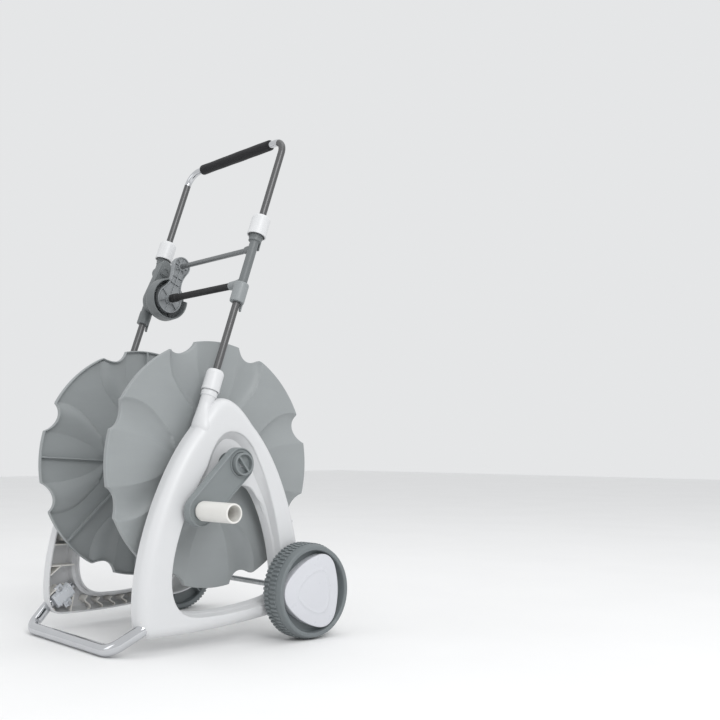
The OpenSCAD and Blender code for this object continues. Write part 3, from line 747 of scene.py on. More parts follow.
def frame_ribs(shell, place):
    """Ribs, boxes and bosses inside a frame's open back."""
    for height in LEG_RIBS:
        for outer, inner in inner_span(height):
            stepped_rib(shell, place, (outer, height), (inner, height))
    outer, inner = inner_span(APEX_RIB)[-1]    # the handle tube slides down in front of it
    stepped_rib(shell, place, (outer, APEX_RIB), (inner, APEX_RIB))
    for y in BEAM_RIBS:
        wavy_rib(shell, place, y, 27 + max(0, y + 60) * 0.08)
    low, high = FRAME_IN + 5, 162
    for y, z in LEG_BOXES:
        outline = rounded([(y - 9, z - 11), (y + 9, z - 11), (y + 9, z + 11), (y - 9, z + 11)], 2)
        inner = inset(outline, 2.2)
        levels = ((outline, low), (outline, high), (inner, high), (inner, low))
        shell.add(rows_mesh(stacked(levels), wrap=True), place)
    for start, end in BRACES:
        stepped_rib(shell, place, start, end)
    for along in FOOT_RIBS:
        rib = block(FOOT_TAIL_X - 6, 164, along - 1.2, along + 1.2, -15, 15, 0.4)
        shell.add(rib, place @ on_foot())
    for across in (-17, 17):
        shell.add(bar(148.2, 165, 4.6), place @ on_foot(0, 84) @ shift(z=across))
    shell.add(ring(FRAME_IN, FRAME_OUT - 4, 13, 5.05), place @ on_wheel())
    shell.add(ring(121, HUB_FLOOR - 1, 23, 19.02, 1.2), place @ shift(z=DRUM_Z))
    for k in range(4):
        web = block(FRAME_IN + 4, HUB_FLOOR - 6, 22.5, 34, -1.1, 1.1, 0.3)
        shell.add(web, place @ shift(z=DRUM_Z) @ turn(k * 60))


def socket_root(shell, place):
    """The handle's socket: a tube that leaves the front leg and flattens into its face."""
    rows = []
    stops = 26
    for i in range(stops + 1):
        s = -26 - 84 * i / stops
        sink = smoothstep(-42, -88, s)
        fade = smoothstep(-80, -110, s)
        out = 12.4 + 13.6 * sink - 6 * fade
        half_y = 12.4 + 2.5 * sink - 9 * fade
        rows.append([(math.cos(a) * (out if math.cos(a) > 0 else 12.4), math.sin(a) * half_y, s)
                     for a in round_angles(40)])
    shell.add(rows_mesh(rows), place @ on_tube(0))
    neck = [(-42, 12.4), (-29.5, 12.4), (-28.5, 14.0), (-21, 14.0), (-20, 13.0), (-14, 12.3),
            (0, 12.3), (0, 9.4), (-42, 9.4)]
    shell.add(turned(neck, 0.5, 2, 56), place @ on_tube(0) @ ALONG_Z)


def side_frame(word, side):
    """One side frame: the moulded shell and the ribs in its open back."""
    place = side_of(side)
    name = "frame_shell_" + word
    shell = Shell()
    shell.add(rows_mesh(frame_rows(), wrap=True), place)
    socket_root(shell, place)
    shell.make(name, "chassis", WHITE, ["frame_" + word], 30)
    ribs = Shell()
    frame_ribs(ribs, place)
    # The ribs take the brighter rib colour: painted light in the frame's shaded pocket.
    ribs.make(name + "_ribs", "chassis", RIB_WHITE_PAINTED_LIGHT)


for word, side in SIDES:
    side_frame(word, side)

# ---------------------------------------------------------------- drum

NOTCH_R = 34.0
NOTCH_DEPTH = 14.0
NOTCH_PAIR = 19.9            # half the angle between the two notches of a pair
LEAF_TIP = 76.0
FLUTE_DEPTH = 9.0
FIN_TURNS = (0, 45, 90, 180, 225, 270)
NOTCH_MID = FLANGE_R - NOTCH_DEPTH + NOTCH_R
NOTCH_HALF = math.degrees(math.acos(
    (FLANGE_R**2 + NOTCH_MID**2 - NOTCH_R**2) / (2 * FLANGE_R * NOTCH_MID)))
NOTCHES = [quarter * 90 + side * NOTCH_PAIR for quarter in range(4) for side in (-1, 1)]


def rim_radius(angle):
    """The flange's edge at an angle, with the notches cut in."""
    for notch in NOTCHES:
        off = (angle - notch + 180) % 360 - 180
        if abs(off) < NOTCH_HALF:
            off = math.radians(off)
            chord = NOTCH_R**2 - (NOTCH_MID * math.sin(off)) ** 2
            return NOTCH_MID * math.cos(off) - math.sqrt(max(chord, 0.0))
    return FLANGE_R


def relief(r, angle):
    """How deep the swept flutes between the leaf-shaped panels are at a place."""
    off = abs((angle + 45) % 90 - 45)
    reach = max(0.0, min(1.0, (r - LEAF_TIP) / (FLANGE_R - LEAF_TIP)))
    leaf = 45.2 * (1 - (1 - reach) ** 2) ** 0.75
    low = math.degrees(math.asin(min(0.95, leaf / r)))
    high = 27.4 + 5.4 * math.sin(math.pi * min(1.0, (FLANGE_R - r) / 105)) ** 0.8
    high = min(high, 9.0 + 21.0 * smoothstep(64, 108, r) + 6 * smoothstep(90, 130, r))
    if not low < off < high:
        return 0.0
    across = (off - low) / (high - low)
    depth = FLUTE_DEPTH * (0.35 + 0.65 * smoothstep(70, 170, r)) * smoothstep(62, 82, r)
    return depth * math.sin(math.pi * across**1.3) ** 0.72


def rim_angles():
    """Angles round the flange, with one at each corner of every notch."""
    stops = sorted(a % 360 for n in NOTCHES for a in (n - NOTCH_HALF, n + NOTCH_HALF))
    angles = []
    for i, start in enumerate(stops):
        end = stops[(i + 1) % len(stops)]
        width = (end - start) % 360
        steps = max(2, round(width / 0.6))
        angles += [start + width * k / steps for k in range(steps)]
    return angles


def flange_rows():
    """Rows from the hub over the fluted face, the rolled rim and back to the hub inside."""
    angles = rim_angles()
    hub = 17.0
    roll = 1.2
    stations = [0, 0.06, 0.12, 0.18] + [0.2 + 0.8 * i / 34 for i in range(35)]
    outer, inner, edge = [], [], []
    for v in stations:
        front, back = [], []
        for a in angles:
            rim = rim_radius(a) - roll
            r = hub + (rim - hub) * v
            x = FLANGE_X - relief(r, a) + 0.9 * smoothstep(78, 70, r)
            front.append((x, *polar(r, a)))
            back.append((x - FLANGE_T, *polar(min(r, rim - 1.6), a)))
        outer.append(front)
        inner.append(back)
    for out, back in ((1.0, 0.35), (roll, 1.2), (roll, 5.0), (roll, 8.4), (0.9, 8.9), (-0.8, 8.9),
                      (-1.1, 8.5), (-1.1, 5.0)):
        row = []
        for a in angles:
            rim = rim_radius(a) - roll
            row.append((FLANGE_X - relief(rim, a) - back, *polar(rim + out, a)))
        edge.append(row)
    return outer + edge + inner[::-1]


def flange(word, side):
    shell = Shell()
    place = side_of(side)
    shell.add(rows_mesh(flange_rows(), wrap=True), place @ on_drum())
    top, low, rim = FLANGE_X - 1, FLANGE_X - 10.5, FLANGE_R - 1.5
    fin = rounded([(top, BARREL_R), (low, BARREL_R), (low, 198, 3), (FLANGE_X - 9, rim), (top, rim)],
                  0.6, 2)
    rows = [[(x, y, z) for x, y in inset(fin, -d)] for z, d in
            ((-1.3, -0.3), (-1.0, 0.0), (1.0, 0.0), (1.3, -0.3))]
    for angle in FIN_TURNS:
        shell.add(rows_mesh(rows), place @ on_drum(angle))
    collar = FLANGE_X + 0.85
    hub = [(top, 16.3), (top, 25.5), (collar, 25), (collar, 16.3)]
    shell.add(turned(hub, 0.3, 2), place @ shift(z=DRUM_Z))
    shell.make("drum_flange_" + word, "drum", DRUM, ["flange_" + word], 17)


for word, side in SIDES:
    flange(word, side)

# ---------------------------------------------------------------- wheels

TREAD_COUNT = 66
TREAD_BASE = WHEEL_R - 1.7


def tread_block(x0, x1, angle, width):
    """One tread block on the tyre, narrower at its top."""
    rows = []
    for r, ease in ((TREAD_BASE - 0.5, 0.0), (WHEEL_R - 0.4, 0.2), (WHEEL_R, 0.7)):
        half = width / 2 - math.degrees(ease / WHEEL_R)
        corners = ((x0 + ease, -1), (x1 - ease, -1), (x1 - ease, 1), (x0 + ease, 1))
        rows.append([(x, *polar(r, angle + sign * half)) for x, sign in corners])
    return rows_mesh(rows)


def wheel(word, side):
    """A wheel with its tyre: a deep outer dish, two rows of tread and ribs at the back."""
    shell = Shell()
    place = on_wheel(side)
    inn, out, groove = WHEEL_IN, WHEEL_OUT, TREAD_BASE - 0.8
    profile = [(inn, 5.06), (inn, 16, 1), (inn + 14, 16.5, 2), (inn + 14, WHEEL_R - 12, 2),
               (inn + 2, WHEEL_R - 11.5, 1), (inn, WHEEL_R - 5, 2), (inn + 3, TREAD_BASE - 0.4, 1.5),
               (inn + 15.6, TREAD_BASE, 0.3), (inn + 16, groove, 0.2), (inn + 17.4, groove, 0.2),
               (inn + 17.8, TREAD_BASE, 0.3), (out - 9, TREAD_BASE + 0.2, 1.5),
               (out - 1.2, WHEEL_R - 4.2, 2.5), (out, WHEEL_R - 6, 1.2), (out, 70.5, 1.0),
               (out - 1.5, 69.3, 0.6), (out - 14, 67.6, 2), (out - 16, 64, 2), (out - 16, 12),
               (out - 15.5, 5.06)]
    shell.add(turned(profile, 0.8, 3, 128), place)
    pitch = 360 / TREAD_COUNT
    for i in range(TREAD_COUNT):
        for x0, x1, late in ((2.4, 15.2, 0), (18.2, 32.4, 0.5)):
            shell.add(tread_block(inn + x0, inn + x1, (i + late) * pitch, pitch * 0.6), place)
    for i in range(6):
        rib = block(inn + 1, inn + 15, 15.5, WHEEL_R - 13, -1.3, 1.3, 0.4)
        shell.add(rib, place @ turn(i * 60 + 15))
    shell.make("wheel_tread_" + word, word + "_wheel", WHEEL, ["wheel_" + word], 30)


for word, side in SIDES:
    wheel(word, side)

CAP_WIDTH = 128.0
CAP_CORNER_R = 67.0
CAP_POINTS = 180


def cap_outline(shrink):
    """A triangle with three bulging sides and rounded corners, at this much inside its edge."""
    reach = CAP_WIDTH / math.sqrt(3)
    corners = [polar(reach, a) for a in (180, 60, -60)]
    radii = []
    for a in round_angles(CAP_POINTS):
        r = CAP_CORNER_R
        for y, z in corners:
            along = math.cos(a) * y + math.sin(a) * z
            r = min(r, along + math.sqrt(along**2 + CAP_WIDTH**2 - reach**2))
        radii.append(r - shrink)
    smooth = []
    for i, a in enumerate(round_angles(CAP_POINTS)):
        near = [radii[(i + k) % CAP_POINTS] for k in range(-5, 6)]
        r = sum(near) / len(near)
        smooth.append((r * math.cos(a), r * math.sin(a)))
    return smooth


def wheel_cap(word, side):
    """The wheel's domed cap with a faint raised contour."""
    edge, crown = 1.8, 3.4
    face = WHEEL_OUT + 2.5
    rim = face - crown - edge
    path = [(WHEEL_OUT - 16, 0.6), (rim, 0.0)]
    path += [(rim + edge * math.sin(a), edge * (1 - math.cos(a))) for a in quarter_turn(4)[1:]]
    levels = [(cap_outline(shrink), x) for x, shrink in path]
    last = cap_outline(edge)
    for share, step in ((0.97, 0), (0.9, 0), (0.8, 0), (0.7, 0), (0.62, 0), (0.615, 0.22),
                        (0.59, 0.22), (0.585, 0), (0.5, 0), (0.35, 0), (0.2, 0), (0.05, 0)):
        domed = face - crown * share**2 + step - 0.01
        levels.append(([(y * share, z * share) for y, z in last], domed))
    shell = Shell()
    shell.add(rows_mesh(stacked(levels)), on_wheel(side))
    shell.make("wheel_lid_" + word, word + "_wheel", CAP_WHITE,
               ["wheel_cap_" + word], 50)


for word, side in SIDES:
    wheel_cap(word, side)

# ---------------------------------------------------------------- crank

ARM_HUB_R = 27.5
ARM_TIP_R = 26.0
KNOB_R = 18.8


def arm_outline(shrink=0.0):
    """The tapered arm, at this much inside its edge."""
    return two_rounds(CRANK_LEN, ARM_HUB_R - shrink, ARM_TIP_R - shrink)


def crank_arm():
    """The dished arm with the ring that the knob stands in."""
    back, face = CRANK_BACK, CRANK_FACE
    path = [(back, 3.0), (back, 0.6), (back + 0.6, 0.0), (face - 1.6, 0.5), (face - 0.5, 0.9),
            (face, 1.8), (face - 0.1, 2.6), (face - 0.8, 3.2), (face - 1.5, 3.6),
            (face - 1.6, 5.0), (face - 1.4, 12.0)]
    shell = Shell()
    shell.add(rows_mesh(stacked((arm_outline(shrink), x) for x, shrink in path)), on_crank())
    shell.add(ring(face - 3, face + 0.4, KNOB_R + 3.2, KNOB_R + 0.5, 0.7), on_crank())
    shell.make("crank_lever", "drum", CRANK, ["crank_arm"], 30)


def crank_knob():
    """A round knob with a deep face, crossed by a bar that turns it."""
    x = KNOB_FACE
    floor = x - 7.5
    profile = [(CRANK_FACE - 2, 0.01), (CRANK_FACE - 2, KNOB_R), (x, KNOB_R, 1.4),
               (x, KNOB_R - 3.2, 0.8), (floor, KNOB_R - 3.8, 0.8), (floor, 0.01)]
    place = shift(z=DRUM_Z)
    shell = Shell()
    shell.add(lathe(rounded(profile, 0.6, closed=False), 72), place)
    across = block(floor - 0.5, x - 0.6, 3 - KNOB_R, KNOB_R - 3, -1.8, 1.8, 0.6)
    shell.add(across, place @ turn(-52))
    shell.make("crank_lock_knob", "drum", CRANK, ["crank_knob"], 30)


def crank_grip():
    """The grip that turns on the crank's end, hollow from its open end."""
    start, end, r = CRANK_FACE + 0.5, GRIP_END, GRIP_R
    profile = [(start, 5.06), (start, r - 1.2, 1.2), (start + 4, r, 3), (end - 2, r - 0.4, 2),
               (end, r - 0.9, 0.9), (end, r - 3.4, 0.6), (start + 24, r - 3.4, 1.5),
               (start + 22, 9, 1), (start + 20.9, 5.06)]
    shell = Shell()
    shell.add(turned(profile, 0.4, 4, 72), on_crank(CRANK_LEN))
    shell.make("crank_turning_grip", "crank_grip", GRIP, ["crank_grip"], 35)


crank_arm()
crank_knob()
crank_grip()

# ---------------------------------------------------------------- handle

FOAM_HALF = 107.0
FOAM_R = 10.0
FLUTES = 16
UPPER_S = 294.0              # the upper locks and the guide's top, along the tube


def bow_bend(share):
    """A point on the right bend, (X, distance along the tube), at a share of its quarter turn."""
    a = math.pi / 2 * share
    return (TUBE_X - HANDLE_BEND * (1 - math.cos(a)),
            HANDLE_LEN - HANDLE_BEND + HANDLE_BEND * math.sin(a))


def handle_path():
    """The handle's centreline from the right tube's lower end over the top to the left."""
    straight = HANDLE_LEN - HANDLE_BEND - TUBE_END
    points = [(TUBE_X, TUBE_END + straight * i / 29) for i in range(30)]
    points += [bow_bend(i / 16) for i in range(1, 17)]
    right = [shift(0, COLLAR[1], COLLAR[2]) @ turn(-LEAN) @ Vector((x, 0, s)) for x, s in points]
    left = [side_of(-1) @ p for p in right[::-1]]
    inner = [right[-1].lerp(left[0], t / 10) for t in range(1, 10)]
    return right + inner + left


def handle():
    """The bow-shaped handle tube."""
    bow = Shell()
    bow.add(sweep(handle_path(), TUBE_R))
    bow.make("handle_bow", "handle", TUBE, ["handle_tube"], 60)


def handle_sleeve(word, side):
    """A bright sleeve where the grip ends and the bow bends, shorter on the right."""
    start = 0.72 if side > 0 else 0.0
    points = [bow_bend(start + (1 - start) * i / 16) for i in range(17)]
    points.append((FOAM_HALF - 4, HANDLE_LEN))
    place = side_of(side) @ shift(0, COLLAR[1], COLLAR[2]) @ turn(-LEAN)
    shell = Shell()
    shell.add(sweep([(x, 0, s) for x, s in points], TUBE_R + 0.12), place)
    shell.make("handle_bright_bend_" + word, "handle", CHROME, (), 60)


def foam_grip():
    """The foam sleeve, a little slack, with rolled ends."""
    profile = [(-FOAM_HALF + 0.4, TUBE_R)]
    steps = 90
    for i in range(steps + 1):
        x = -FOAM_HALF + 2 * FOAM_HALF * i / steps
        swell = 0.12 * math.sin(x * 0.11) + 0.1 * math.sin(x * 0.043 + 1)
        end = FOAM_HALF - abs(x)
        tuck = 2.4 * (1 - min(1.0, end / 3.2)) ** 2
        profile.append((x, FOAM_R - 0.1 + swell - tuck))
    profile.append((FOAM_HALF - 0.4, TUBE_R))
    shell = Shell()
    shell.add(lathe(profile, 48, closed=True), on_tube(HANDLE_LEN) @ shift(-TUBE_X))
    piece = shell.make("foam_sleeve", "handle", FOAM, ["foam_grip"], 60)
    return piece


def twist_collar(name, s, length, r, side, body, node):
    """A twist lock: a smooth cap with a stepped lip and shallow thumb flutes."""
    half = length / 2
    profile = [(-half, r - 2), (-half, r + 0.5, 0.6), (-half + 3.2, r + 0.5, 0.5),
               (-half + 3.8, r - 0.1, 0.3), (half - 5, r - 0.1, 3.5), (half, r - 3.2, 1.5),
               (half, TUBE_R + 1.2, 0.8), (half - 6, TUBE_R + 0.5), (half - 8, r - 3),
               (-half + 1, r - 2)]
    rows = []
    for x, radius in rounded(profile, 0.5, 4):
        depth = 0.0
        if -half + 5 < x < half - 5 and radius > r - 1:
            depth = 0.35 * min(1.0, (half - 5 - abs(x)) / 4)
        row = []
        for a in round_angles(96):
            out = radius - depth * max(0.0, math.cos(a * FLUTES)) ** 3
            row.append((x, out * math.cos(a), out * math.sin(a)))
        rows.append(row)
    shell = Shell()
    shell.add(rows_mesh(rows, wrap=True), on_tube(s, side) @ ALONG_Z)
    shell.make(name, body, WHITE, [node], 35)


handle()
for word, side in SIDES:
    handle_sleeve(word, side)
foam_grip()
for word, side in SIDES:
    twist_collar("lower_twist_lock_" + word, 0, 37, 15.5, side, "lower_lock_" + word,
                 "lower_collar_" + word)
    twist_collar("upper_twist_lock_" + word, UPPER_S, 38, 16.8, side, "upper_lock_" + word,
                 "upper_collar_" + word)

# ---------------------------------------------------------------- hose guide

GUIDE_LOW = 137.0
CUP_R = 40.0
LUG_S = 246.0
CHEEK_TOP = 258.0
CUP_BACK = -112.0
CUP_RIM = -83.0
CUP_FLOOR = -103.0
LEVER_BACK = -95.4
LEVER_FACE = -79.0
LEVER_BIG_R = 27.0
LEVER_SMALL_R = 19.0
LEVER_NECK = 25.0
LEVER_RIM = -84.5
WINDOW = (-5, 92)            # the cup's open stretch, in degrees from +Y
CLAMP_LOW = 146.0
CLAMP_TOP = 182.0


def clip_tail(shell, place):
    """The hooked tongue under a clamp or a sleeve."""
    rows = []
    for i, (out, along) in enumerate(((8.8, 4), (10.6, 0), (11.2, -6), (11.6, -10), (12.6, -12))):
        half = 4.2 - 0.45 * i
        thick = 1.5 - 0.12 * i
        rows.append([(-half, out - thick, along), (half, out - thick, along),
                     (half, out + thick * 0.6, along), (-half, out + thick * 0.6, along)])
    shell.add(rows_mesh(rows), place)


def threaded_neck(shell, place, s, r):
    """The lock's thread that shows below its collar."""
    for i in range(4):
        low = s - 1.7 * i
        ridge = [(low, r - 1), (low + 0.3, r), (low + 0.9, r), (low + 1.2, r - 1)]
        shell.add(turned(ridge, 0.15, 2, 56), place)


def cup_rows():
    """Rows of the round cup, its wall cut down inside the window that the rod swings through."""
    wall = [(CUP_BACK, 33), (CUP_BACK + 3, 39, 2), (CUP_BACK + 8, CUP_R + 1.2, 2),
            (CUP_RIM - 4, CUP_R, 1), (CUP_RIM, CUP_R - 0.4, 0.8), (CUP_RIM, CUP_R - 3, 0.8),
            (CUP_FLOOR, CUP_R - 3.4, 2), (CUP_FLOOR, 3.1), (CUP_BACK, 3.1)]
    low, high = (math.radians(a) for a in WINDOW)
    cut_to = LEVER_BACK - 1.5
    rows = []
    for x, r in rounded(wall, 0.5, 3):
        row = []
        for a in round_angles(120):
            past, left = (a - low) % (2 * math.pi), (high - a) % (2 * math.pi)
            drop = smoothstep(0.0, 0.09, min(past, left)) if past < high - low else 0.0
            row.append((x - max(0.0, x - cut_to) * drop, r * math.cos(a), r * math.sin(a)))
        rows.append(row)
    return rows


def lock_seat():
    """The top of a sleeve's profile, where the upper lock closes on it."""
    return [(UPPER_S - 30, 11.6, 0.5), (UPPER_S, 11.6, 0.6), (UPPER_S, 9.4, 0.4),
            (UPPER_S - 8, 9.4)]


def guide_body():
    """The left clamp housing with its round cup."""
    shell = Shell()
    tube = on_tube(0, -1) @ ALONG_Z
    low, high = GUIDE_LOW - 2, UPPER_S - 31
    profile = [(low, 6.6), (low, 12, 1), (low + 24, 12, 1.5), (low + 26, 10.6, 1), (high, 10.6, 1),
               *lock_seat(), (UPPER_S - 8, 6.6)]
    shell.add(turned(profile), tube)
    threaded_neck(shell, tube, UPPER_S - 20, 12.3)
    clip_tail(shell, on_tube(GUIDE_LOW, -1))
    place = on_guide()
    shell.add(rows_mesh(cup_rows(), wrap=True), place)
    cone = [(-145, 13), (-140, 17), (-132, 24), (-124, 30), (-116, 35.5), (-110.5, 38.5)]
    shell.add(lathe(cone), place)
    for angle in (150, 195, 240, 285):
        rib = block(CUP_FLOOR - 0.5, CUP_FLOOR + 3.5, 6, CUP_R - 3.5, -0.9, 0.9, 0.3)
        shell.add(rib, place @ turn(angle))
    lug = on_tube(LUG_S, -1)
    shell.add(bar(-18, 8, 12, 1.5), lug)
    neck = on_tube(CHEEK_TOP, -1).translation - Vector((0, GUIDE_Y, GUIDE_Z))
    slope = math.degrees(math.atan2(neck.z, neck.y))
    cheek = two_rounds(math.hypot(neck.y, neck.z), 27, 13)
    shell.add(plate(cheek, -141, -128, 2.2), place @ turn(slope))
    disc = shift(y=lug.translation.y, z=lug.translation.z)
    shell.add(bar(-129, -125.4, 10.5, 1.2), disc)
    shell.add(ring(-126.5, -123.6, 8.2, 5.2, 0.7), disc)
    shell.make("guide_cup_housing", "guide", GUIDE, ["guide_housing"], 32)


def guide_sleeve():
    """The right tube's sleeve up to its upper lock."""
    tube = on_tube(0, 1) @ ALONG_Z
    low = CLAMP_TOP
    profile = [(low, 6.45), (low, 8, 0.4), (UPPER_S - 31, 8, 1), *lock_seat(), (UPPER_S - 8, 6.45)]
    shell = Shell()
    shell.add(turned(profile, 0.3, 3, 56), tube)
    threaded_neck(shell, tube, UPPER_S - 20, 12.2)
    clip_tail(shell, on_tube(UPPER_S - 30, 1))
    shell.make("guide_tube_sleeve", "guide", GUIDE, ["guide_sleeve"], 32)


def guide_clamp():
    """The clamp on the right tube with the socket that holds the roller's end."""
    low, top = CLAMP_LOW, CLAMP_TOP
    profile = [(low, 6.5), (low, 12.6, 0.8), (low + 3, 13, 0.8), (top - 3, 13, 1.2), (top, 12, 1.2),
               (top, 6.5)]
    socket = [(104.8, 3.1), (104.8, 6.4, 0.5), (107, 7.6, 1), (122, 8.2, 2), (141, 10.5, 2),
              (141, 3.1)]
    shell = Shell()
    shell.add(turned(profile), on_tube(0, 1) @ ALONG_Z)
    clip_tail(shell, on_tube(low, 1))
    shell.add(turned(socket, 0.4, 3, 48), on_guide())
    shell.make("guide_roller_clamp", "guide", CLAMP, ["guide_clamp"], 32)


def lever_outline(shrink=0.0):
    """The lever's dog-bone outline."""
    points = []
    steps = 24
    waist_at, neck = 0.56 * BAIL_LEN, LEVER_NECK / 2 - shrink
    small, big = LEVER_SMALL_R - shrink, LEVER_BIG_R - shrink
    join_small, join_big = math.radians(118), math.radians(58)
    for i in range(steps + 1):
        a = -join_small + 2 * join_small * i / steps
        points.append((BAIL_LEN + small * math.cos(a), small * math.sin(a)))
    start = points[-1]
    end = (big * math.cos(join_big), big * math.sin(join_big))
    curve = [start, (waist_at + 6, neck - 1.2), (waist_at - 6, neck - 1.8), end]
    points += [curve_point(curve, i / 12) for i in range(1, 12)]
    for i in range(steps * 2 + 1):
        a = join_big + (2 * math.pi - 2 * join_big) * i / (steps * 2)
        points.append((big * math.cos(a), big * math.sin(a)))
    curve = [(end[0], -end[1]), (waist_at - 6, -neck + 1.8), (waist_at + 6, -neck + 1.2),
             (start[0], -start[1])]
    points += [curve_point(curve, i / 12) for i in range(1, 12)]
    return points


def bail_lever():
    """The dished lever with its pivot ring, ribs and the ring round the rod."""
    place = on_bail()
    small = place @ shift(y=BAIL_LEN)
    face = LEVER_RIM
    floor = face - 3.6
    path = [(LEVER_BACK, 2.0), (LEVER_BACK, 0.5), (LEVER_BACK + 0.5, 0.0), (face - 0.8, 0.0),
            (face - 0.2, 0.25), (face, 0.8), (face, 1.9), (face - 0.3, 2.3), (face - 3.0, 2.6),
            (face - 3.2, 3.2), (face - 3.2, 6.0)]
    shell = Shell()
    shell.add(rows_mesh(stacked((lever_outline(shrink), x) for x, shrink in path)), place)
    shell.add(ring(floor, face + 0.8, 10.2, 3.1, 0.7), place)
    shell.add(ring(floor, face + 0.6, 8.2, 4.8, 0.6), small)
    shell.add(block(floor, face - 0.3, 9, BAIL_LEN - 7.5, -0.8, 0.8, 0.3), place)
    for angle in range(60, 360, 60):
        shell.add(block(floor, face - 0.3, 9.5, 25.2, -0.8, 0.8, 0.3), place @ turn(angle))
    for angle in (50, -50, 90, -90, 0, 140, -140):
        shell.add(block(floor, face - 0.3, 7.6, 14, -0.7, 0.7, 0.3), small @ turn(angle))
    for along in (33, 47):
        shell.add(block(floor, face - 0.3, along - 0.8, along + 0.8, -9.5, 9.5, 0.3), place)
    shell.add(ring(face - 2, LEVER_FACE, 9.2, 3.1, 0.6), place)
    shell.make("bail_swing_lever", "bail", SILVER, ["bail_lever"], 32)


def bail_rod():
    """The rod across the guide, with a knob at its free end."""
    profile = [(-92, 0.01), (-92, 4.8), (111, 4.8, 3), (117, 7.2, 2), (129, 7.8, 1), (130, 7, 0.8),
               (130, 0.01)]
    shell = Shell()
    shell.add(lathe(rounded(profile, 0.4, closed=False), 48), on_bail(BAIL_LEN))
    shell.make("bail_cross_rod", "bail", ROD, ["bail_rod"], 40)


def guide_roller():
    """The rubber roller with its thicker end at the lever."""
    start = LEVER_FACE + 0.5
    profile = [(start, 3.06), (start, 8, 0.8), (-60, 8, 0.8), (-59, 6.4, 0.5), (103.6, 6.3, 0.8),
               (104.4, 5.6), (104.4, 3.06)]
    shell = Shell()
    shell.add(turned(profile, 0.4, 3, 48), on_guide())
    shell.make("guide_rubber_roller", "roller", RUBBER, ["guide_roller"], 35)


guide_body()
guide_sleeve()
guide_clamp()
bail_lever()
bail_rod()
guide_roller()

# ---------------------------------------------------------------- foot bar

FOOT_FRONT_BEND = 30.0
FOOT_TAIL_BEND = 25.0
FOOT_TAIL_LEN = 52.0


def foot_path():
    """The foot bar's centreline in its own plane, right half, from the middle outwards."""
    corners = [(0, 0), (FOOT_BEND_X, 0, FOOT_FRONT_BEND), (FOOT_TAIL_X, FOOT_DEPTH, FOOT_TAIL_BEND),
               (FOOT_TAIL_X, FOOT_DEPTH + 5.1 + FOOT_TAIL_LEN)]
    path = []
    for i, corner in enumerate(corners):
        here = Vector(corner[:2])
        if i in (0, len(corners) - 1):
            path.append(here)
            continue
        back = (Vector(corners[i - 1][:2]) - here).normalized()
        on = (Vector(corners[i + 1][:2]) - here).normalized()
        bend = back.angle(on)
        reach = corner[2] / math.tan(bend / 2)
        centre = here + (back + on).normalized() * corner[2] / math.sin(bend / 2)
        first, last = here + back * reach - centre, here + on * reach - centre
        total = first.angle(last)
        for k in range(15):
            t = k / 14
            arm = (first * math.sin(total * (1 - t)) + last * math.sin(total * t)) / math.sin(total)
            path.append(centre + arm)
    return path


def foot_bar():
    """The chromed bow that the cart stands on in front."""
    half = foot_path()
    path = [(-p.x, p.y, 0) for p in half[:0:-1]] + [(p.x, p.y, 0) for p in half]
    shell = Shell()
    shell.add(sweep(path, FOOT_R, 36), on_foot())
    shell.make("foot_bar_bow", "chassis", CHROME, ["foot_bar"], 60)


def saddle_outline():
    """A foot clamp's section, X against the place across the bar: an arch over the bar."""
    arch = [(154, -13, 0.8), (146, -13, 2.5), (140.6, -8, 3.5), (140.6, 8, 3.5), (146, 13, 2.5),
            (154, 13, 0.8), (154, 10.1, 0.3)]
    reach = 10.06
    angles = [math.pi * k / 12 for k in range(3, 10)]
    under = [(FOOT_TAIL_X - reach * math.sin(a), reach * math.cos(a)) for a in angles]
    return rounded(arch, 0.5, 3) + under + [(154, -10.1)]


def foot_clamps():
    """Milky saddles that hold the foot bar's tails in the frames."""
    shell = Shell()
    outline = saddle_outline()
    for _word, side in SIDES:
        place = side_of(side) @ on_foot(0, 84)
        rows = [[(x, y, z) for x, z in outline] for y in (-20, -19.6, 19.6, 20)]
        shell.add(rows_mesh(rows), place)
        for y in (-13, 13):
            shell.add(block(140.4, 147, y - 1, y + 1, -12, 12, 0.4), place)
        for ear, screw in (((-22, -9), -17), ((9, 22), 17)):
            shell.add(block(144, 148.1, -8, 8, *ear, 0.6), place)
            shell.add(ring(140.6, 144.4, 5.2, 1.9, 0.5), place @ shift(z=screw))
    shell.make("foot_bar_saddles", "chassis", MILKY, ["foot_clamps"], 32)


foot_bar()
foot_clamps()

# ---------------------------------------------------------------- studio


FLOOR_REACH = 9.0            # metres, like every size in the studio
FLOOR_DEPTH = -0.0002
SKY = (0.98, 0.99, 1.0, 1.0)
SKY_STRENGTH = 0.80
AIM = (0, 0, 0.4)

# The camera's place in cart millimetres, its direction, lens and picture shift
EYE = (1487.6, -1013.2, 324.9)
LOOKING = (-0.7797, 0.6224, 0.068)
LENS = 49.635
SHIFT_X, SHIFT_Y = 0.1528, 0.0278


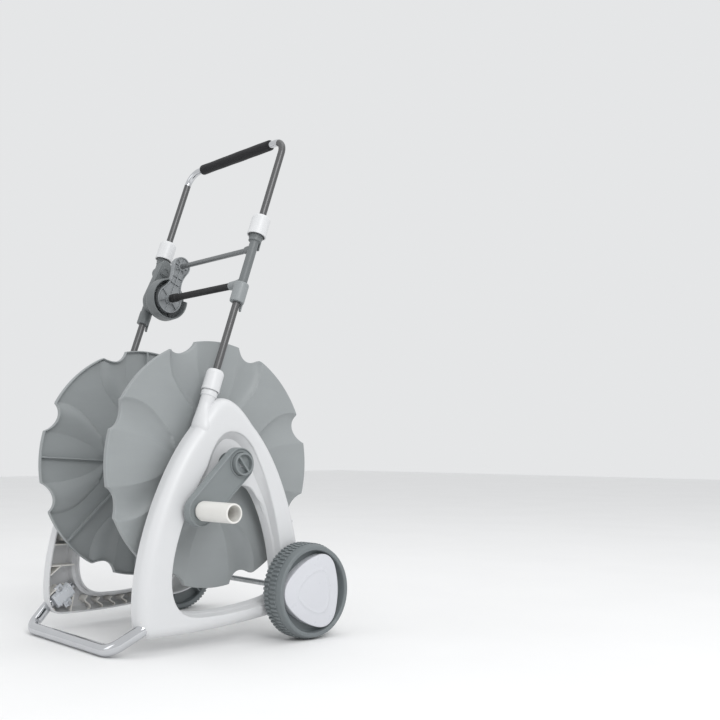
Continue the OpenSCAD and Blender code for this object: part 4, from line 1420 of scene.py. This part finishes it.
def floor():
    """A plain matt floor."""
    mesh = bpy.data.meshes.new("floor")
    corners = ((-1, -1), (1, -1), (1, 1), (-1, 1))
    mesh.from_pydata([(x * FLOOR_REACH, y * FLOOR_REACH, FLOOR_DEPTH) for x, y in corners], [],
                     [(0, 1, 2, 3)])
    ground = bpy.data.objects.new("floor", mesh)
    bpy.context.scene.collection.objects.link(ground)
    look = Surface("floor_paint")
    look.colour(look.ramp(look.noise(3), [(0.3, (0.86, 0.86, 0.86)), (0.7, (0.88, 0.88, 0.88))]))
    look.shader.inputs["Roughness"].default_value = 0.75
    mesh.materials.append(look.material)


def sky():
    """Even white light from all round."""
    world = bpy.data.worlds.new("studio")
    world.use_nodes = True
    background = world.node_tree.nodes["Background"]
    background.inputs["Color"].default_value = SKY
    background.inputs["Strength"].default_value = SKY_STRENGTH
    bpy.context.scene.world = world
    bpy.context.scene.view_settings.view_transform = "Standard"


def soft_light(name, place, size, power):
    """A soft rectangular light aimed at the cart's middle."""
    lamp = bpy.data.lights.new(name, "AREA")
    lamp.shape = "RECTANGLE"
    lamp.size, lamp.size_y = size
    lamp.energy = power
    source = bpy.data.objects.new(name, lamp)
    source.location = place
    source.rotation_euler = (Vector(AIM) - Vector(place)).to_track_quat("-Z", "Y").to_euler()
    bpy.context.scene.collection.objects.link(source)


def camera():
    """The camera that stands where the photo was taken."""
    data = bpy.data.cameras.new("camera")
    data.sensor_width = 36.0
    data.lens = LENS
    data.shift_x, data.shift_y = SHIFT_X, SHIFT_Y
    data.clip_start, data.clip_end = 0.05, 50
    eye = bpy.data.objects.new("camera", data)
    eye.location = CART @ Vector(EYE)
    eye.rotation_euler = Vector(LOOKING).to_track_quat("-Z", "Y").to_euler()
    bpy.context.scene.collection.objects.link(eye)
    bpy.context.scene.camera = eye


floor()
sky()
soft_light("key", (3.0, -0.9, 2.4), (1.6, 1.6), 48)
soft_light("top", (0.4, 0.6, 3.4), (2.4, 2.4), 20)
soft_light("front", (-0.8, -3.0, 1.6), (1.4, 1.8), 7)
camera()
